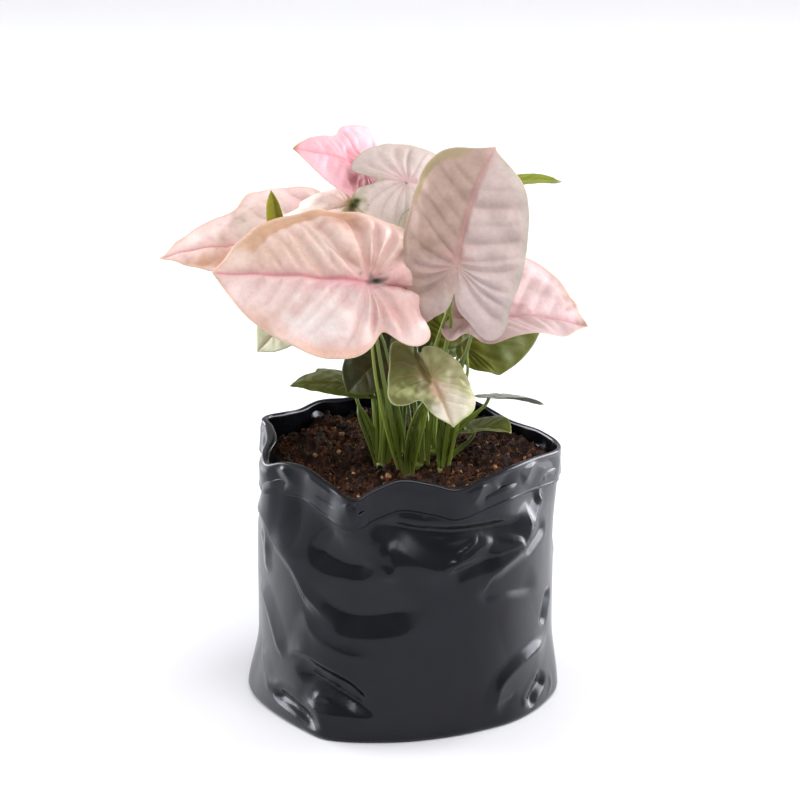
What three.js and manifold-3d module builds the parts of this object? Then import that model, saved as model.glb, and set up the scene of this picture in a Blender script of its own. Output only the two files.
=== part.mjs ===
// A young arrowhead plant with pink, cream and green leaves, growing in a black film grow bag.
// Units are millimetres. +Z is up, the front is -Y, and the origin is the centre of the bag's flat bottom.
import * as THREE from "three";
import { mergeVertices } from "three/addons/utils/BufferGeometryUtils.js";
import Module from "manifold-3d";

const wasm = await Module();
wasm.setup();
const { Manifold } = wasm;

// Driving sizes
const BAG_WALL = 1;
const BAG_FLOOR = 1.2;
const CUFF_DEPTH = 17;
const CUFF_STAND_OFF = 1.5;
const CUFF_FLARE = 5;
const CUFF_FLARE_AT = 186;
const CUFF_FLARE_HALF = 17;
const CLEARANCE = 0.35;
const SOIL_LEVEL = 117;
const SOIL_MOUND = 3;
const SOIL_BACK_RISE = 8;
const SOIL_SIDE_RISE = 4;
const BLADE_THICKNESS = 0.8;
const UPRIGHT_NEAR_MIDRIB = 4;
const STALK_GAP = 0.75;
const STEM_RADIUS = 4;
const STEM_FOOT = 100;
const STEM_RISE = 1.5;
const STALK_SPREAD = 2;
const STALK_BASE_RADIUS = 1.9;
const STALK_TOP_RADIUS = 1.05;

const DEG = Math.PI / 180;
const SIDES = 60;

// Bag rim, as azimuth in degrees, radius and height. The rim dips and scallops all the way round.
const RIM = [
  [-1, 79.5, 130],
  [19, 75.3, 128.7],
  [39, 71.8, 127.2],
  [66, 74.3, 132],
  [90, 70, 133],
  [116, 66.6, 134],
  [131, 66.6, 136],
  [145, 66, 135.6],
  [156, 67.6, 137.7],
  [168, 72.1, 139.6],
  [176, 67.7, 139],
  [187, 66, 137],
  [198, 71.9, 134.6],
  [206, 75.1, 132.8],
  [215, 72.4, 136.6],
  [226, 70, 137],
  [239.5, 71.9, 132.7],
  [252, 77.8, 129.6],
  [259, 71.4, 133.5],
  [269, 66, 136.8],
  [282, 67.4, 134.7],
  [291.5, 70.9, 132],
  [306, 69.4, 134],
  [320, 69.9, 135.5],
  [337, 71.7, 134],
];

// Radius round the belly of the bag and round its bottom edge, which has four soft corners.
const BELLY = [
  [0, 76.5],
  [45, 73],
  [90, 72],
  [135, 72.5],
  [180, 73.8],
  [225, 73.5],
  [252, 74.5],
  [280, 72.5],
  [315, 73],
];
const FOOT = [
  [0, 79.5],
  [25, 75],
  [50, 73],
  [70, 76],
  [85, 79],
  [105, 74.5],
  [135, 72.5],
  [165, 76],
  [182, 79.8],
  [191, 79.6],
  [213, 77.2],
  [229, 78.4],
  [240, 81.2],
  [248, 79.4],
  [261, 75.6],
  [282, 72.4],
  [302, 72.6],
  [318, 75.6],
  [340, 78.4],
  [351, 80],
];

// Main folds of the film: start and end as azimuth and height, then half width and depth (minus goes in).
const FOLDS = [
  [262, 103, 318, 106, 7, -5],
  [270, 84, 325, 92, 8, 2.5],
  [246, 112, 266, 88, 5, -2.5],
  [268, 62, 300, 70, 8, -2],
  [222, 96, 236, 20, 6, 2],
  [190, 98, 206, 30, 6, -2.5],
  [206, 60, 236, 8, 5, -2],
  [352, 100, 352, 104, 9, -4],
  [330, 96, 345, 45, 6, -2.5],
  [322, 50, 300, 8, 7, 1.5],
  [60, 106, 120, 100, 7, -3],
  [130, 90, 150, 20, 8, -2.5],
  [30, 95, 40, 30, 8, -2.5],
  [85, 70, 100, 15, 8, 2],
];

// Where each shoot stands in the soil.
const SHOOTS = {
  shoot_left: [-10, -3],
  shoot_front: [2, -14],
  shoot_back_left: [-3, 6],
  shoot_middle: [9, -3],
  shoot_right: [18, -9],
  shoot_back: [15, 12],
};

// Half outline of a blade: angle from the tip, seen from the stalk's joint, against distance from the joint.
const OUTLINE = [
  [0, 1],
  [5, 0.94],
  [12, 0.88],
  [22, 0.81],
  [36, 0.7],
  [54, 0.59],
  [75, 0.51],
  [97, 0.47],
  [118, 0.465],
  [137, 0.515],
  [151, 0.56],
  [162, 0.54],
  [171, 0.42],
  [178, 0.25],
  [180, 0.05],
];
const RINGS = [0.38, 0.72, 1];

// Leaves. at: stalk joint. tip: leaf tip. face: the way the upper side looks. Pairs are for the left and
// the right of the midrib, seen from above with the tip ahead. wide: half widths. lobe: length of the lobes
// behind the joint. fold: lift at the midrib. curl: how far each half bends on to its edge. full: fuller
// towards the tip. waist: how far the edge is drawn in beside the joint. splay: lobes turned outwards.
// lift: lobes raised. arch and sway: bend of the midrib, up and sideways. wave, ripples and phase: height,
// pace and start of the edge ripple. bow: push on the middle of the stalk. seat: how much lower it ends.
const PLAIN = {
  lobe: [12, 12],
  fold: [8, 8],
  curl: [-12, -12],
  full: [0, 0],
  waist: [0, 0],
  splay: [0, 0],
  lift: [0, 0],
  arch: 8,
  sway: 0,
  wave: [0.6, 0.6],
  ripples: 4,
  phase: 0,
  bow: [0, 0, 0],
  seat: 0,
};
const LEAVES = {
  leaf_front_left: {
    shoot: "shoot_front",
    at: [-17, -44, 230.5], tip: [-91.5, -44, 234.5], face: [-0.21, -0.77, 0.58],
    wide: [41, 42], lobe: [37, 30], fold: [-4, -8], curl: [10, -20], full: [-0.04, 0], waist: [0.3, 0],
    splay: [12, 2], lift: [-1, 3], arch: 9, wave: [1.2, 1.2], ripples: 3, phase: 35,
    bow: [-9, -5, 1],
  },
  leaf_front_right: {
    shoot: "shoot_middle",
    at: [26, -43, 237.5], tip: [44, -20, 289.5], face: [-0.1, -0.95, 0.3],
    wide: [29, 32.5], lobe: [33, 36], fold: [9, 9], curl: [-26, -18], full: [0.2, 0.04], waist: [0.06, 0],
    splay: [0, 4], arch: 12, sway: 2.6, wave: [0.8, 0.8], ripples: 4, phase: 70,
    bow: [-6, -6, 10],
  },
  leaf_right_pink: {
    shoot: "shoot_right",
    at: [36, -18, 203.5], tip: [91, -10, 196], face: [-0.03, -0.37, 0.91],
    wide: [44, 34], lobe: [16, 14], fold: [18, 16], curl: [-14, -12],
    arch: 14, wave: [0.5, 2.6], ripples: 5.6, phase: 187,
    bow: [0, 0, 0],
  },
  leaf_right_under: {
    shoot: "shoot_right",
    at: [29, 0, 184], tip: [67, 49, 194.5], face: [0.19, -0.54, 0.82],
    wide: [20, 22], lobe: [12, 10], curl: [-10, -14],
    arch: 6, wave: [0.6, 0.6], ripples: 3, phase: 55,
    bow: [3, -1, -1], seat: 0.2,
  },
  leaf_front_small: {
    shoot: "shoot_front",
    at: [14, -45, 181], tip: [24, -66, 164], face: [0.1, -0.5, 0.86],
    wide: [20, 25], lobe: [22, 31], fold: [10, 10], curl: [-24, -22], full: [0.1, -0.4], waist: [0, 0.12],
    splay: [-6, -6], lift: [3, 3], arch: 10, wave: [1.2, 1.2], ripples: 3, phase: 115,
    bow: [0, -2, 4],
  },
  leaf_low_left: {
    shoot: "shoot_left",
    at: [-24, 0, 161], tip: [-56, -12, 166], face: [0.05, 0, 1],
    wide: [8, 23], lobe: [9, 11], fold: [-6, 10], curl: [-16, -12], full: [-0.15, -0.5],
    arch: 10, wave: [0.2, 0.2], ripples: 3, phase: 55,
  },
  leaf_low_right_grey: {
    shoot: "shoot_right",
    at: [43, 0, 156], tip: [71, 8, 149], face: [0.2, 0.34, 0.94],
    wide: [11, 11], lobe: [7, 7], fold: [5, 5], curl: [-10, -10],
    arch: 12, wave: [0.3, 0.3], ripples: 3, phase: 0,
    bow: [-4, 10, 9],
  },
  leaf_low_right: {
    shoot: "shoot_right",
    at: [36, -5, 140], tip: [54, -12, 141], face: [0.02, 0.1, 1.02],
    wide: [17, 15], lobe: [8, 8], fold: [16, 12], curl: [-10, -8],
    arch: 12, wave: [0.6, 0.6], ripples: 3, phase: 25,
    bow: [0, -2, 0], seat: 0.3,
  },
  leaf_far_left: {
    shoot: "shoot_left",
    at: [-39, 26, 230], tip: [-121, 8, 226], face: [0, -0.25, 0.97],
    wide: [24, 43], lobe: [12, 15], fold: [-4, 13], curl: [-24, -10], full: [-0.05, -0.22],
    arch: 8, wave: [0.6, 0.6], ripples: 3, phase: 115,
    bow: [11, 12, 30], seat: 0.4,
  },
  leaf_new_rolled: {
    shoot: "shoot_left",
    at: [-60, -14, 243], tip: [-64, -13, 267], face: [0, -1, 0.2],
    wide: [7, 6], lobe: [5, 5], fold: [34, 34], curl: [26, 26],
    arch: 4, wave: [0, 0], ripples: 3, phase: 0,
    bow: [17, -1, 29],
  },
  leaf_top_left: {
    shoot: "shoot_back_left",
    at: [-21, 32, 267], tip: [-54, 12, 281], face: [-0.1, -0.45, 0.89],
    wide: [23, 24], lobe: [14, 20], fold: [-6, 8], curl: [-14, -8], full: [0, -0.2], waist: [0, -0.15],
    arch: 6, wave: [0.4, 0.4], ripples: 4, phase: 30,
    bow: [0, 2, 8],
  },
  leaf_top_middle: {
    shoot: "shoot_back_left",
    at: [2, 9, 265], tip: [27, 17, 245.5], face: [-0.16, -0.28, 0.96],
    wide: [31.5, 36], lobe: [26, 28], fold: [10, -52], curl: [-12, -18],
    splay: [-16, -6], lift: [1.5, -1.5], arch: 10, wave: [1, 1], ripples: 3, phase: 55,
    bow: [2, 2, 8], seat: 1.5,
  },
  leaf_cream: {
    shoot: "shoot_back_left",
    at: [-28, 18, 249.5], tip: [-72, 2, 238], face: [0, -0.21, 0.96],
    wide: [22, 18], lobe: [9, 10], fold: [9, 9], curl: [-14, -14], full: [0, -0.3],
    arch: 10, wave: [1.2, 1.2], ripples: 3, phase: 125,
    bow: [2, 0, 8], seat: 0.75,
  },
  leaf_behind_right: {
    shoot: "shoot_middle",
    at: [4, -8, 246], tip: [38, -4, 228], face: [0.03, -0.74, 0.58],
    wide: [22, 20], lobe: [18, 18],
    bow: [0, 3, 4],
  },
  leaf_tip_right: {
    shoot: "shoot_back",
    at: [38, 23, 256], tip: [78, 10, 264.5], face: [0, -0.05, 1],
    wide: [9.5, 11], lobe: [7, 7], fold: [12, 6], curl: [-14, -10],
    arch: 14, wave: [0.3, 0.3], ripples: 3, phase: 0,
    bow: [-10, 22, 7],
  },
  leaf_left_under: {
    shoot: "shoot_left",
    at: [-51, -5, 203], tip: [-72, -10, 183], face: [-0.3, -0.6, 0.7],
    wide: [15, 15], lobe: [10, 10],
    arch: 6, wave: [0.5, 0.5], ripples: 3, phase: 0,
    bow: [14, 4, 30],
  },
  leaf_inner_left: {
    shoot: "shoot_left",
    at: [-10, -10, 182], tip: [-28, -15, 163], face: [-0.3, -0.8, 0.5],
    wide: [15, 15], lobe: [11, 11],
    wave: [0.6, 0.6], ripples: 3, phase: 55,
  },
  leaf_inner_middle: {
    shoot: "shoot_middle",
    at: [-4, 22, 180], tip: [0, 36, 204], face: [-0.18, -0.91, 0.58],
    wide: [16, 16], lobe: [12, 12],
    arch: 6,
    bow: [8, 7, 5],
  },
  leaf_rear_right: {
    shoot: "shoot_back",
    at: [24, 51, 227], tip: [56, 87, 197], face: [0.35, 0.5, 0.79],
    wide: [24, 24], lobe: [22, 22], curl: [-14, -14],
    arch: 12, wave: [1.2, 1.2], ripples: 3, phase: 0,
    bow: [3, 6, 24],
  },
  leaf_rear_left: {
    shoot: "shoot_back_left",
    at: [-17, 54, 220], tip: [-47, 88, 198.5], face: [-0.34, 0.35, 0.83],
    wide: [24, 24], lobe: [22, 22], curl: [-14, -14],
    arch: 12, wave: [1.2, 1.2], ripples: 3, phase: 115,
    bow: [3, -3, 9],
  },
  leaf_rear_low: {
    shoot: "shoot_back",
    at: [16, 39, 168.5], tip: [14, 76, 158], face: [0.39, 0.17, 1],
    wide: [17, 17], lobe: [12, 12],
    arch: 10, wave: [0.8, 0.8], ripples: 3, phase: 55,
    bow: [0, 0, 4], seat: 0.45,
  },
};
for (const [name, leaf] of Object.entries(LEAVES)) LEAVES[name] = { ...PLAIN, ...leaf };

const v3 = (a) => new THREE.Vector3(...a);

// A smooth closed curve through stations [azimuth, value, value...], read at any azimuth.
function around(stations, azimuth) {
  const n = stations.length;
  let i = n - 1;
  const a = ((((azimuth - stations[0][0]) % 360) + 360) % 360) + stations[0][0];
  while (stations[i][0] > a) i--;
  const get = (k) => {
    const s = stations[((k % n) + n) % n];
    return [s[0] + 360 * Math.floor(k / n), ...s.slice(1)];
  };
  const [p0, p1, p2, p3] = [get(i - 1), get(i), get(i + 1), get(i + 2)];
  return hermite(p0, p1, p2, p3, a);
}

// A smooth curve between two stations, with slopes taken from their neighbours.
function hermite(p0, p1, p2, p3, a) {
  const h = p2[0] - p1[0];
  const t = (a - p1[0]) / h;
  return p1.slice(1).map((_, k) => {
    const y = [p0, p1, p2, p3].map((p) => p[k + 1]);
    const m1 = ((y[2] - y[0]) / (p2[0] - p0[0])) * h;
    const m2 = ((y[3] - y[1]) / (p3[0] - p1[0])) * h;
    const d = y[2] - y[1];
    return y[1] + t * (m1 + t * (3 * d - 2 * m1 - m2 + t * (m1 + m2 - 2 * d)));
  });
}

const smooth = (x) => {
  const t = Math.min(Math.max(x, 0), 1);
  return t * t * (3 - 2 * t);
};

// How far the folds push the film out at an azimuth and height.
function folds(azimuth, z) {
  let sum = 0;
  for (const [a1, z1, a2, z2, half, depth] of FOLDS) {
    const scale = 75 * DEG;
    const away = ((((azimuth - a1 + 180) % 360) + 360) % 360) - 180;
    const [x, y] = [away * scale, z - z1];
    const [dx, dy] = [(a2 - a1) * scale, z2 - z1];
    const s = Math.min(Math.max((x * dx + y * dy) / (dx * dx + dy * dy), 0), 1);
    const d = Math.hypot(x - s * dx, y - s * dy) / half;
    sum += depth * Math.exp(-d * d);
  }
  return sum;
}

// Outside of the film at an azimuth and height, without the cuff.
function bagRadius(azimuth, z) {
  const [rimRadius] = around(RIM, azimuth);
  const [belly] = around(BELLY, azimuth);
  const [foot] = around(FOOT, azimuth);
  const low = 1 - smooth(z / 34);
  const high = smooth((z - 88) / 36);
  const plain = belly + (foot - belly) * low + (rimRadius - 1 - belly) * high;
  return plain + folds(azimuth, z) * smooth(z / 12);
}

// Closed surface from a stack of rings, each a function of azimuth giving radius and height, with a pole at
// each end.
function lathe(rings, bottom, top) {
  const positions = [0, 0, bottom];
  for (const ring of rings)
    for (let i = 0; i < SIDES; i++) {
      const azimuth = (360 * i) / SIDES;
      const [r, z] = ring(azimuth);
      positions.push(r * Math.cos(azimuth * DEG), r * Math.sin(azimuth * DEG), z);
    }
  positions.push(0, 0, top);
  const last = positions.length / 3 - 1;
  const index = [];
  for (let i = 0; i < SIDES; i++) {
    const j = (i + 1) % SIDES;
    index.push(0, 1 + j, 1 + i);
    for (let k = 0; k < rings.length - 1; k++) {
      const [a, b] = [1 + k * SIDES + i, 1 + k * SIDES + j];
      const rising = positions[3 * (a + SIDES) + 2] >= positions[3 * a + 2];
      if (rising) index.push(a, b, b + SIDES, a, b + SIDES, a + SIDES);
      else index.push(a, b, a + SIDES, b, b + SIDES, a + SIDES);
    }
    index.push(last, last - SIDES + i, last - SIDES + j);
  }
  return geometry(positions, index);
}

function geometry(positions, index) {
  return new THREE.BufferGeometry()
    .setAttribute("position", new THREE.Float32BufferAttribute(positions, 3))
    .setIndex(index);
}

function solid(geo) {
  return new Manifold(
    new wasm.Mesh({
      numProp: 3,
      vertProperties: new Float32Array(geo.attributes.position.array),
      triVerts: new Uint32Array(geo.index.array),
    }),
  );
}

// An upright round bar from one height to another.
function upright(x, y, z1, z2, r1, r2) {
  const geo = new THREE.CylinderGeometry(r2, r1, z2 - z1, 12);
  geo.rotateX(Math.PI / 2);
  geo.translate(x, y, (z1 + z2) / 2);
  geo.deleteAttribute("normal");
  geo.deleteAttribute("uv");
  return solid(mergeVertices(geo, 1e-4));
}

function fromSolid(made) {
  const m = made.getMesh();
  return geometry(Array.from(m.vertProperties), Array.from(m.triVerts));
}

const rimHeight = (azimuth) => around(RIM, azimuth)[1];

// Height on the inside of the wall at the foot of the cuff, kept under the soil's surface.
const cuffFoot = (azimuth) => Math.min(rimHeight(azimuth) - CUFF_DEPTH - 1, soilEdge(azimuth) - 1.5);

// The bag: flat bottom, creased wall, and a cuff turned down outside the rim.
function bag() {
  const wall = [3.2, 10, 22, 36, 50, 63, 75, 86, 96, 106];
  const outside = (z) => (a) => [bagRadius(a, z), z];
  const cuff = (below, out) => (a) => {
    const z = rimHeight(a) - below;
    const flare = CUFF_FLARE * Math.exp(-(((a - CUFF_FLARE_AT) / CUFF_FLARE_HALF) ** 2));
    const share = Math.max(out / CUFF_STAND_OFF, 0);
    return [bagRadius(a, z) + out + (out > 0.5 ? flare * share : 0), z];
  };
  const inside = (z) => (a) => [bagRadius(a, z) - BAG_WALL, z];
  const rings = [
    (a) => [bagRadius(a, 0) - 2.2, 0],
    ...wall.map(outside),
    cuff(CUFF_DEPTH + 1, 0),
    cuff(CUFF_DEPTH, CUFF_STAND_OFF),
    cuff(CUFF_DEPTH * 0.5, CUFF_STAND_OFF),
    cuff(1.2, 1),
    cuff(0, 0.2),
    cuff(1.2, -BAG_WALL),
    (a) => inside(soilEdge(a) + 2.5)(a),
    (a) => inside(soilEdge(a))(a),
    (a) => inside(cuffFoot(a))(a),
    ...wall.slice().reverse().map(inside),
    (a) => [bagRadius(a, 0) - 3.4, BAG_FLOOR],
  ];
  return lathe(rings, 0, BAG_FLOOR);
}

// Height of the soil: it climbs towards the back left, and is raised and lumpy round the stems.
function soilHeight(x, y) {
  const r = Math.hypot(x, y) / 72;
  const lumps = Math.sin(x * 0.21 + 1) * Math.cos(y * 0.17) + 0.6 * Math.sin(x * 0.13 - y * 0.24);
  const back = SOIL_BACK_RISE * smooth((y - 0.6 * x + 12) / 75);
  const right = SOIL_SIDE_RISE * smooth((x - 15) / 50);
  return SOIL_LEVEL + back + right + (SOIL_MOUND + 0.7 * lumps) * Math.max(1 - r * r, 0);
}

function soilEdge(azimuth) {
  return soilHeight(70 * Math.cos(azimuth * DEG), 70 * Math.sin(azimuth * DEG));
}

function soil() {
  const wall = [3.2, 10, 22, 36, 50, 63, 75, 86, 96, 106];
  const side = (z) => (a) => [bagRadius(a, z) - BAG_WALL - CLEARANCE, z];
  const top = (share) => (a) => {
    const r = (bagRadius(a, soilEdge(a)) - BAG_WALL - CLEARANCE) * share;
    return [r, soilHeight(r * Math.cos(a * DEG), r * Math.sin(a * DEG))];
  };
  const rings = [
    (a) => [bagRadius(a, 0) - 3.4 - CLEARANCE, BAG_FLOOR + CLEARANCE],
    ...wall.map(side),
    (a) => side(cuffFoot(a))(a),
    (a) => side(soilEdge(a))(a),
    ...[0.86, 0.66, 0.44, 0.22].map(top),
  ];
  let made = solid(lathe(rings, BAG_FLOOR + CLEARANCE, soilHeight(0, 0)));
  for (const [x, y] of Object.values(SHOOTS)) {
    const r = STEM_RADIUS + CLEARANCE;
    made = made.subtract(upright(x, y, STEM_FOOT - CLEARANCE, SOIL_LEVEL + 40, r, r + 2 * CLEARANCE));
  }
  return fromSolid(made);
}

// The frame of a blade: chord, upward normal and leftward direction.
function frameOf(leaf) {
  const chord = v3(leaf.tip).sub(v3(leaf.at));
  const length = chord.length();
  const ahead = chord.clone().normalize();
  const up = v3(leaf.face);
  up.addScaledVector(ahead, -up.dot(ahead)).normalize();
  const left = up.clone().cross(ahead);
  return { length, ahead, up, left };
}

// A point of the blade's middle surface and the direction of its thickness there, which turns with the blade's
// bend but is kept upright near the midrib. theta runs round from the tip, positive to the left, and t from the
// stalk's joint (0) to the edge (1). The lobes are kept off each other across the notch behind the joint.
function bladePoint(leaf, frame, theta, t) {
  const side = theta >= 0 ? 0 : 1;
  const sign = theta >= 0 ? 1 : -1;
  const from = Math.abs(theta);
  const back = smooth((from - 95) / 50) * (1 - smooth((from - 171) / 9));
  const angle = Math.min(from - leaf.splay[side] * back, 90 + from / 2) * DEG;
  const fullness = 1 + leaf.full[side] * Math.exp(-(((from - 28) / 18) ** 2));
  const waist = 1 - leaf.waist[side] * Math.exp(-(((from - 118) / 24) ** 2));
  const reach = t * outlineAt(from) * fullness * waist;
  const cos = Math.cos(angle);
  const along = reach * cos * (cos > 0 ? frame.length : leaf.lobe[side] / 0.53);
  const across = (reach * Math.sin(angle) * leaf.wide[side]) / 0.5;
  const half = leaf.wide[side];
  const s = along / frame.length;
  const bend = leaf.arch * DEG;
  const turn = (2 * s - 1) * bend;
  const x = (frame.length / 2) * (1 + Math.sin(turn) / Math.sin(bend));
  const z = (frame.length / (2 * Math.sin(bend))) * (Math.cos(turn) - Math.cos(bend));
  const fold = leaf.fold[side] * DEG;
  const curl = leaf.curl[side] * DEG;
  const end = fold + (curl * across) / half;
  const y = (half / curl) * (Math.sin(end) - Math.sin(fold));
  const rise = (-half / curl) * (Math.cos(end) - Math.cos(fold));
  const pace = Math.sin((leaf.ripples * from + leaf.phase) * DEG) * smooth(from / 30);
  const ripple = leaf.wave[side] * t ** 3 * pace;
  const lobes = leaf.lift[side] * smooth(-along / leaf.lobe[side]);
  const sway = 4 * leaf.sway * s * (1 - Math.max(s, 0));
  const out = rise + ripple + lobes;
  const outward = frame.ahead.clone().multiplyScalar(Math.sin(turn)).addScaledVector(frame.up, Math.cos(turn));
  const tilt = end * smooth(across / UPRIGHT_NEAR_MIDRIB);
  const normal = outward.clone().multiplyScalar(Math.cos(tilt));
  normal.addScaledVector(frame.left, -sign * Math.sin(tilt));
  const point = v3(leaf.at)
    .addScaledVector(frame.ahead, x)
    .addScaledVector(frame.up, z)
    .addScaledVector(frame.left, sign * y + sway)
    .addScaledVector(outward, out);
  return { point, normal };
}

function outlineAt(angle) {
  let i = 0;
  while (i < OUTLINE.length - 2 && OUTLINE[i + 1][0] < angle) i++;
  const get = (k) => OUTLINE[Math.min(Math.max(k, 0), OUTLINE.length - 1)];
  const p1 = get(i);
  const p2 = get(i + 1);
  const p0 = i ? get(i - 1) : [2 * p1[0] - p2[0], 2 * p1[1] - p2[1]];
  const last = i + 2 >= OUTLINE.length;
  const p3 = last ? [2 * p2[0] - p1[0], 2 * p2[1] - p1[1]] : get(i + 2);
  return hermite(p0, p1, p2, p3, angle)[0];
}

// A closed blade: the middle surface pushed both ways through its thickness and joined round the edge.
function blade(leaf, thickness) {
  const frame = frameOf(leaf);
  const angles = OUTLINE.map(([a]) => a);
  const spokes = [...angles.slice(1, -1).reverse().map((a) => -a), ...angles];
  const middle = [bladePoint(leaf, frame, 0, 0)];
  for (const t of RINGS) for (const a of spokes) middle.push(bladePoint(leaf, frame, a, t));
  const n = spokes.length;
  const faces = [];
  for (let i = 0; i < n; i++) {
    const j = (i + 1) % n;
    faces.push([0, 1 + i, 1 + j]);
    for (let k = 0; k < RINGS.length - 1; k++) {
      const [a, b] = [1 + k * n + i, 1 + k * n + j];
      faces.push([a, a + n, b + n], [a, b + n, b]);
    }
  }
  const count = middle.length;
  const positions = [];
  for (const way of [0.5, -0.5])
    for (const { point, normal } of middle) {
      const q = point.clone().addScaledVector(normal, way * thickness);
      positions.push(q.x, q.y, q.z);
    }
  const index = [];
  for (const [a, b, c] of faces) index.push(a, b, c, count + a, count + c, count + b);
  const edge = 1 + (RINGS.length - 1) * n;
  for (let i = 0; i < n; i++) {
    const [a, b] = [edge + i, edge + ((i + 1) % n)];
    index.push(a, count + a, count + b, a, count + b, b);
  }
  return geometry(positions, index);
}

// A tapered round bar along a smooth path given as centre points and radii.
function bar(points, radii, sides) {
  const positions = [];
  const index = [];
  const across = new THREE.Vector3(0, 1, 0);
  points.forEach((p, i) => {
    const before = points[Math.max(i - 1, 0)];
    const after = points[Math.min(i + 1, points.length - 1)];
    const along = after.clone().sub(before).normalize();
    const u = across.clone().addScaledVector(along, -across.dot(along)).normalize();
    const w = along.clone().cross(u);
    for (let k = 0; k < sides; k++) {
      const angle = (2 * Math.PI * k) / sides;
      const q = p
        .clone()
        .addScaledVector(u, radii[i] * Math.cos(angle))
        .addScaledVector(w, radii[i] * Math.sin(angle));
      positions.push(q.x, q.y, q.z);
    }
  });
  const rows = points.length;
  for (let i = 0; i < rows - 1; i++)
    for (let k = 0; k < sides; k++) {
      const [a, b] = [i * sides + k, i * sides + ((k + 1) % sides)];
      index.push(a, b, b + sides, a, b + sides, a + sides);
    }
  for (let k = 1; k < sides - 1; k++) {
    index.push(0, k + 1, k);
    const end = (rows - 1) * sides;
    index.push(end, end + k, end + k + 1);
  }
  return geometry(positions, index);
}

// The path of a leaf stalk, from its shoot up to just under the blade.
function stalkPath(leaf, steps) {
  const frame = frameOf(leaf);
  const [x, y] = SHOOTS[leaf.shoot];
  const joint = bladePoint(leaf, frame, 0, 0).point;
  const side = joint.clone().sub(new THREE.Vector3(x, y, 0)).setZ(0).setLength(STALK_SPREAD);
  const start = new THREE.Vector3(x, y, soilHeight(x, y) - 0.5).add(side);
  const heading = frame.up.clone().multiplyScalar(0.7).addScaledVector(frame.ahead, 0.15);
  heading.z += 0.55;
  heading.normalize();
  const slope = Math.sqrt(1 - heading.dot(frame.up) ** 2);
  const drop = BLADE_THICKNESS / 2 + STALK_GAP + STALK_TOP_RADIUS * slope + leaf.seat;
  const end = joint.addScaledVector(frame.up, -drop);
  const span = end.distanceTo(start);
  const lean = end.clone().sub(start).setZ(0).multiplyScalar(0.12);
  const c1 = start.clone().add(lean).add(new THREE.Vector3(0, 0, span * 0.42)).add(v3(leaf.bow));
  const c2 = end.clone().addScaledVector(heading, -span * 0.28);
  const curve = new THREE.CubicBezierCurve3(start, c1, c2, end);
  const points = curve.getPoints(steps);
  const radii = points.map((_, i) => {
    const s = i / steps;
    return STALK_TOP_RADIUS + (STALK_BASE_RADIUS - STALK_TOP_RADIUS) * (1 - s) ** 1.3;
  });
  return { points, radii };
}

// A shoot: a short stem in the soil with the stalks of its leaves growing out of it.
function shoot(name) {
  const [x, y] = SHOOTS[name];
  let made = upright(x, y, STEM_FOOT, soilHeight(x, y) + STEM_RISE, STEM_RADIUS, STEM_RADIUS * 0.9);
  for (const leaf of Object.values(LEAVES)) {
    if (leaf.shoot !== name) continue;
    const { points, radii } = stalkPath(leaf, 9);
    made = made.add(solid(bar(points, radii, 7)));
  }
  return fromSolid(made);
}

// Leaf colours
const LEAF_COLOURS = {
  leaf_front_left: "#dd9f8e",
  leaf_front_right: "#c4938a",
  leaf_right_pink: "#e2aea3",
  leaf_right_under: "#4a5a3c",
  leaf_front_small: "#a3a878",
  leaf_low_left: "#6d7d4c",
  leaf_low_right_grey: "#8a9377",
  leaf_low_right: "#55662f",
  leaf_far_left: "#c2938c",
  leaf_new_rolled: "#b5bd74",
  leaf_top_left: "#dd8d8a",
  leaf_top_middle: "#a99a8e",
  leaf_cream: "#e3cdb8",
  leaf_behind_right: "#7f8b68",
  leaf_tip_right: "#a3ad66",
  leaf_left_under: "#9db07c",
};
const PLAIN_LEAF = "#5f7042";
const STALK_COLOUR = "#7d9150";

const group = new THREE.Group();
const add = (name, geo, color, roughness) => {
  const mesh = new THREE.Mesh(geo, new THREE.MeshStandardMaterial({ color, roughness, metalness: 0 }));
  mesh.name = name;
  group.add(mesh);
};

add("grow_bag", bag(), "#232327", 0.3);
add("soil", soil(), "#4b3728", 0.95);
for (const name of Object.keys(SHOOTS)) add(name, shoot(name), STALK_COLOUR, 0.5);
for (const [name, leaf] of Object.entries(LEAVES))
  add(name, blade(leaf, BLADE_THICKNESS), LEAF_COLOURS[name] ?? PLAIN_LEAF, 0.45);

export default group;
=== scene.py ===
"""A young arrowhead plant with pink, cream and green leaves in a black film nursery bag.

Lengths in the data are millimetres and meshes are made in metres. +Z is up and the front looks along -Y.
Places given in pixels are read along the camera's rays in an 800 by 800 frame.
"""

import bpy
import numpy as np
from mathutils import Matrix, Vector


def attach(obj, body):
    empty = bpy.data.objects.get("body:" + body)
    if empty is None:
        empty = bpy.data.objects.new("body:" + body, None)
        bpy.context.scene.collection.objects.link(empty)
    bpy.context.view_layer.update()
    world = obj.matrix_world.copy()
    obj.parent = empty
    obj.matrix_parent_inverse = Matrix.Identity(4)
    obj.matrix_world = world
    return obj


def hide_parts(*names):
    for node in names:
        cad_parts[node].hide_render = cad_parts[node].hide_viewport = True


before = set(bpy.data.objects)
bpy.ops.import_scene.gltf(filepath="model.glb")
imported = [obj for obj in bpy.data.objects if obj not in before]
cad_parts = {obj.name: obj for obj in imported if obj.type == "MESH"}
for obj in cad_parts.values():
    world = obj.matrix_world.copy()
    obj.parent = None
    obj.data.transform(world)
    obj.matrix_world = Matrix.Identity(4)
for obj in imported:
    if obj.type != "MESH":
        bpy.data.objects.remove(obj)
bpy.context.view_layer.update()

PER_METRE = 1000

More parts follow.
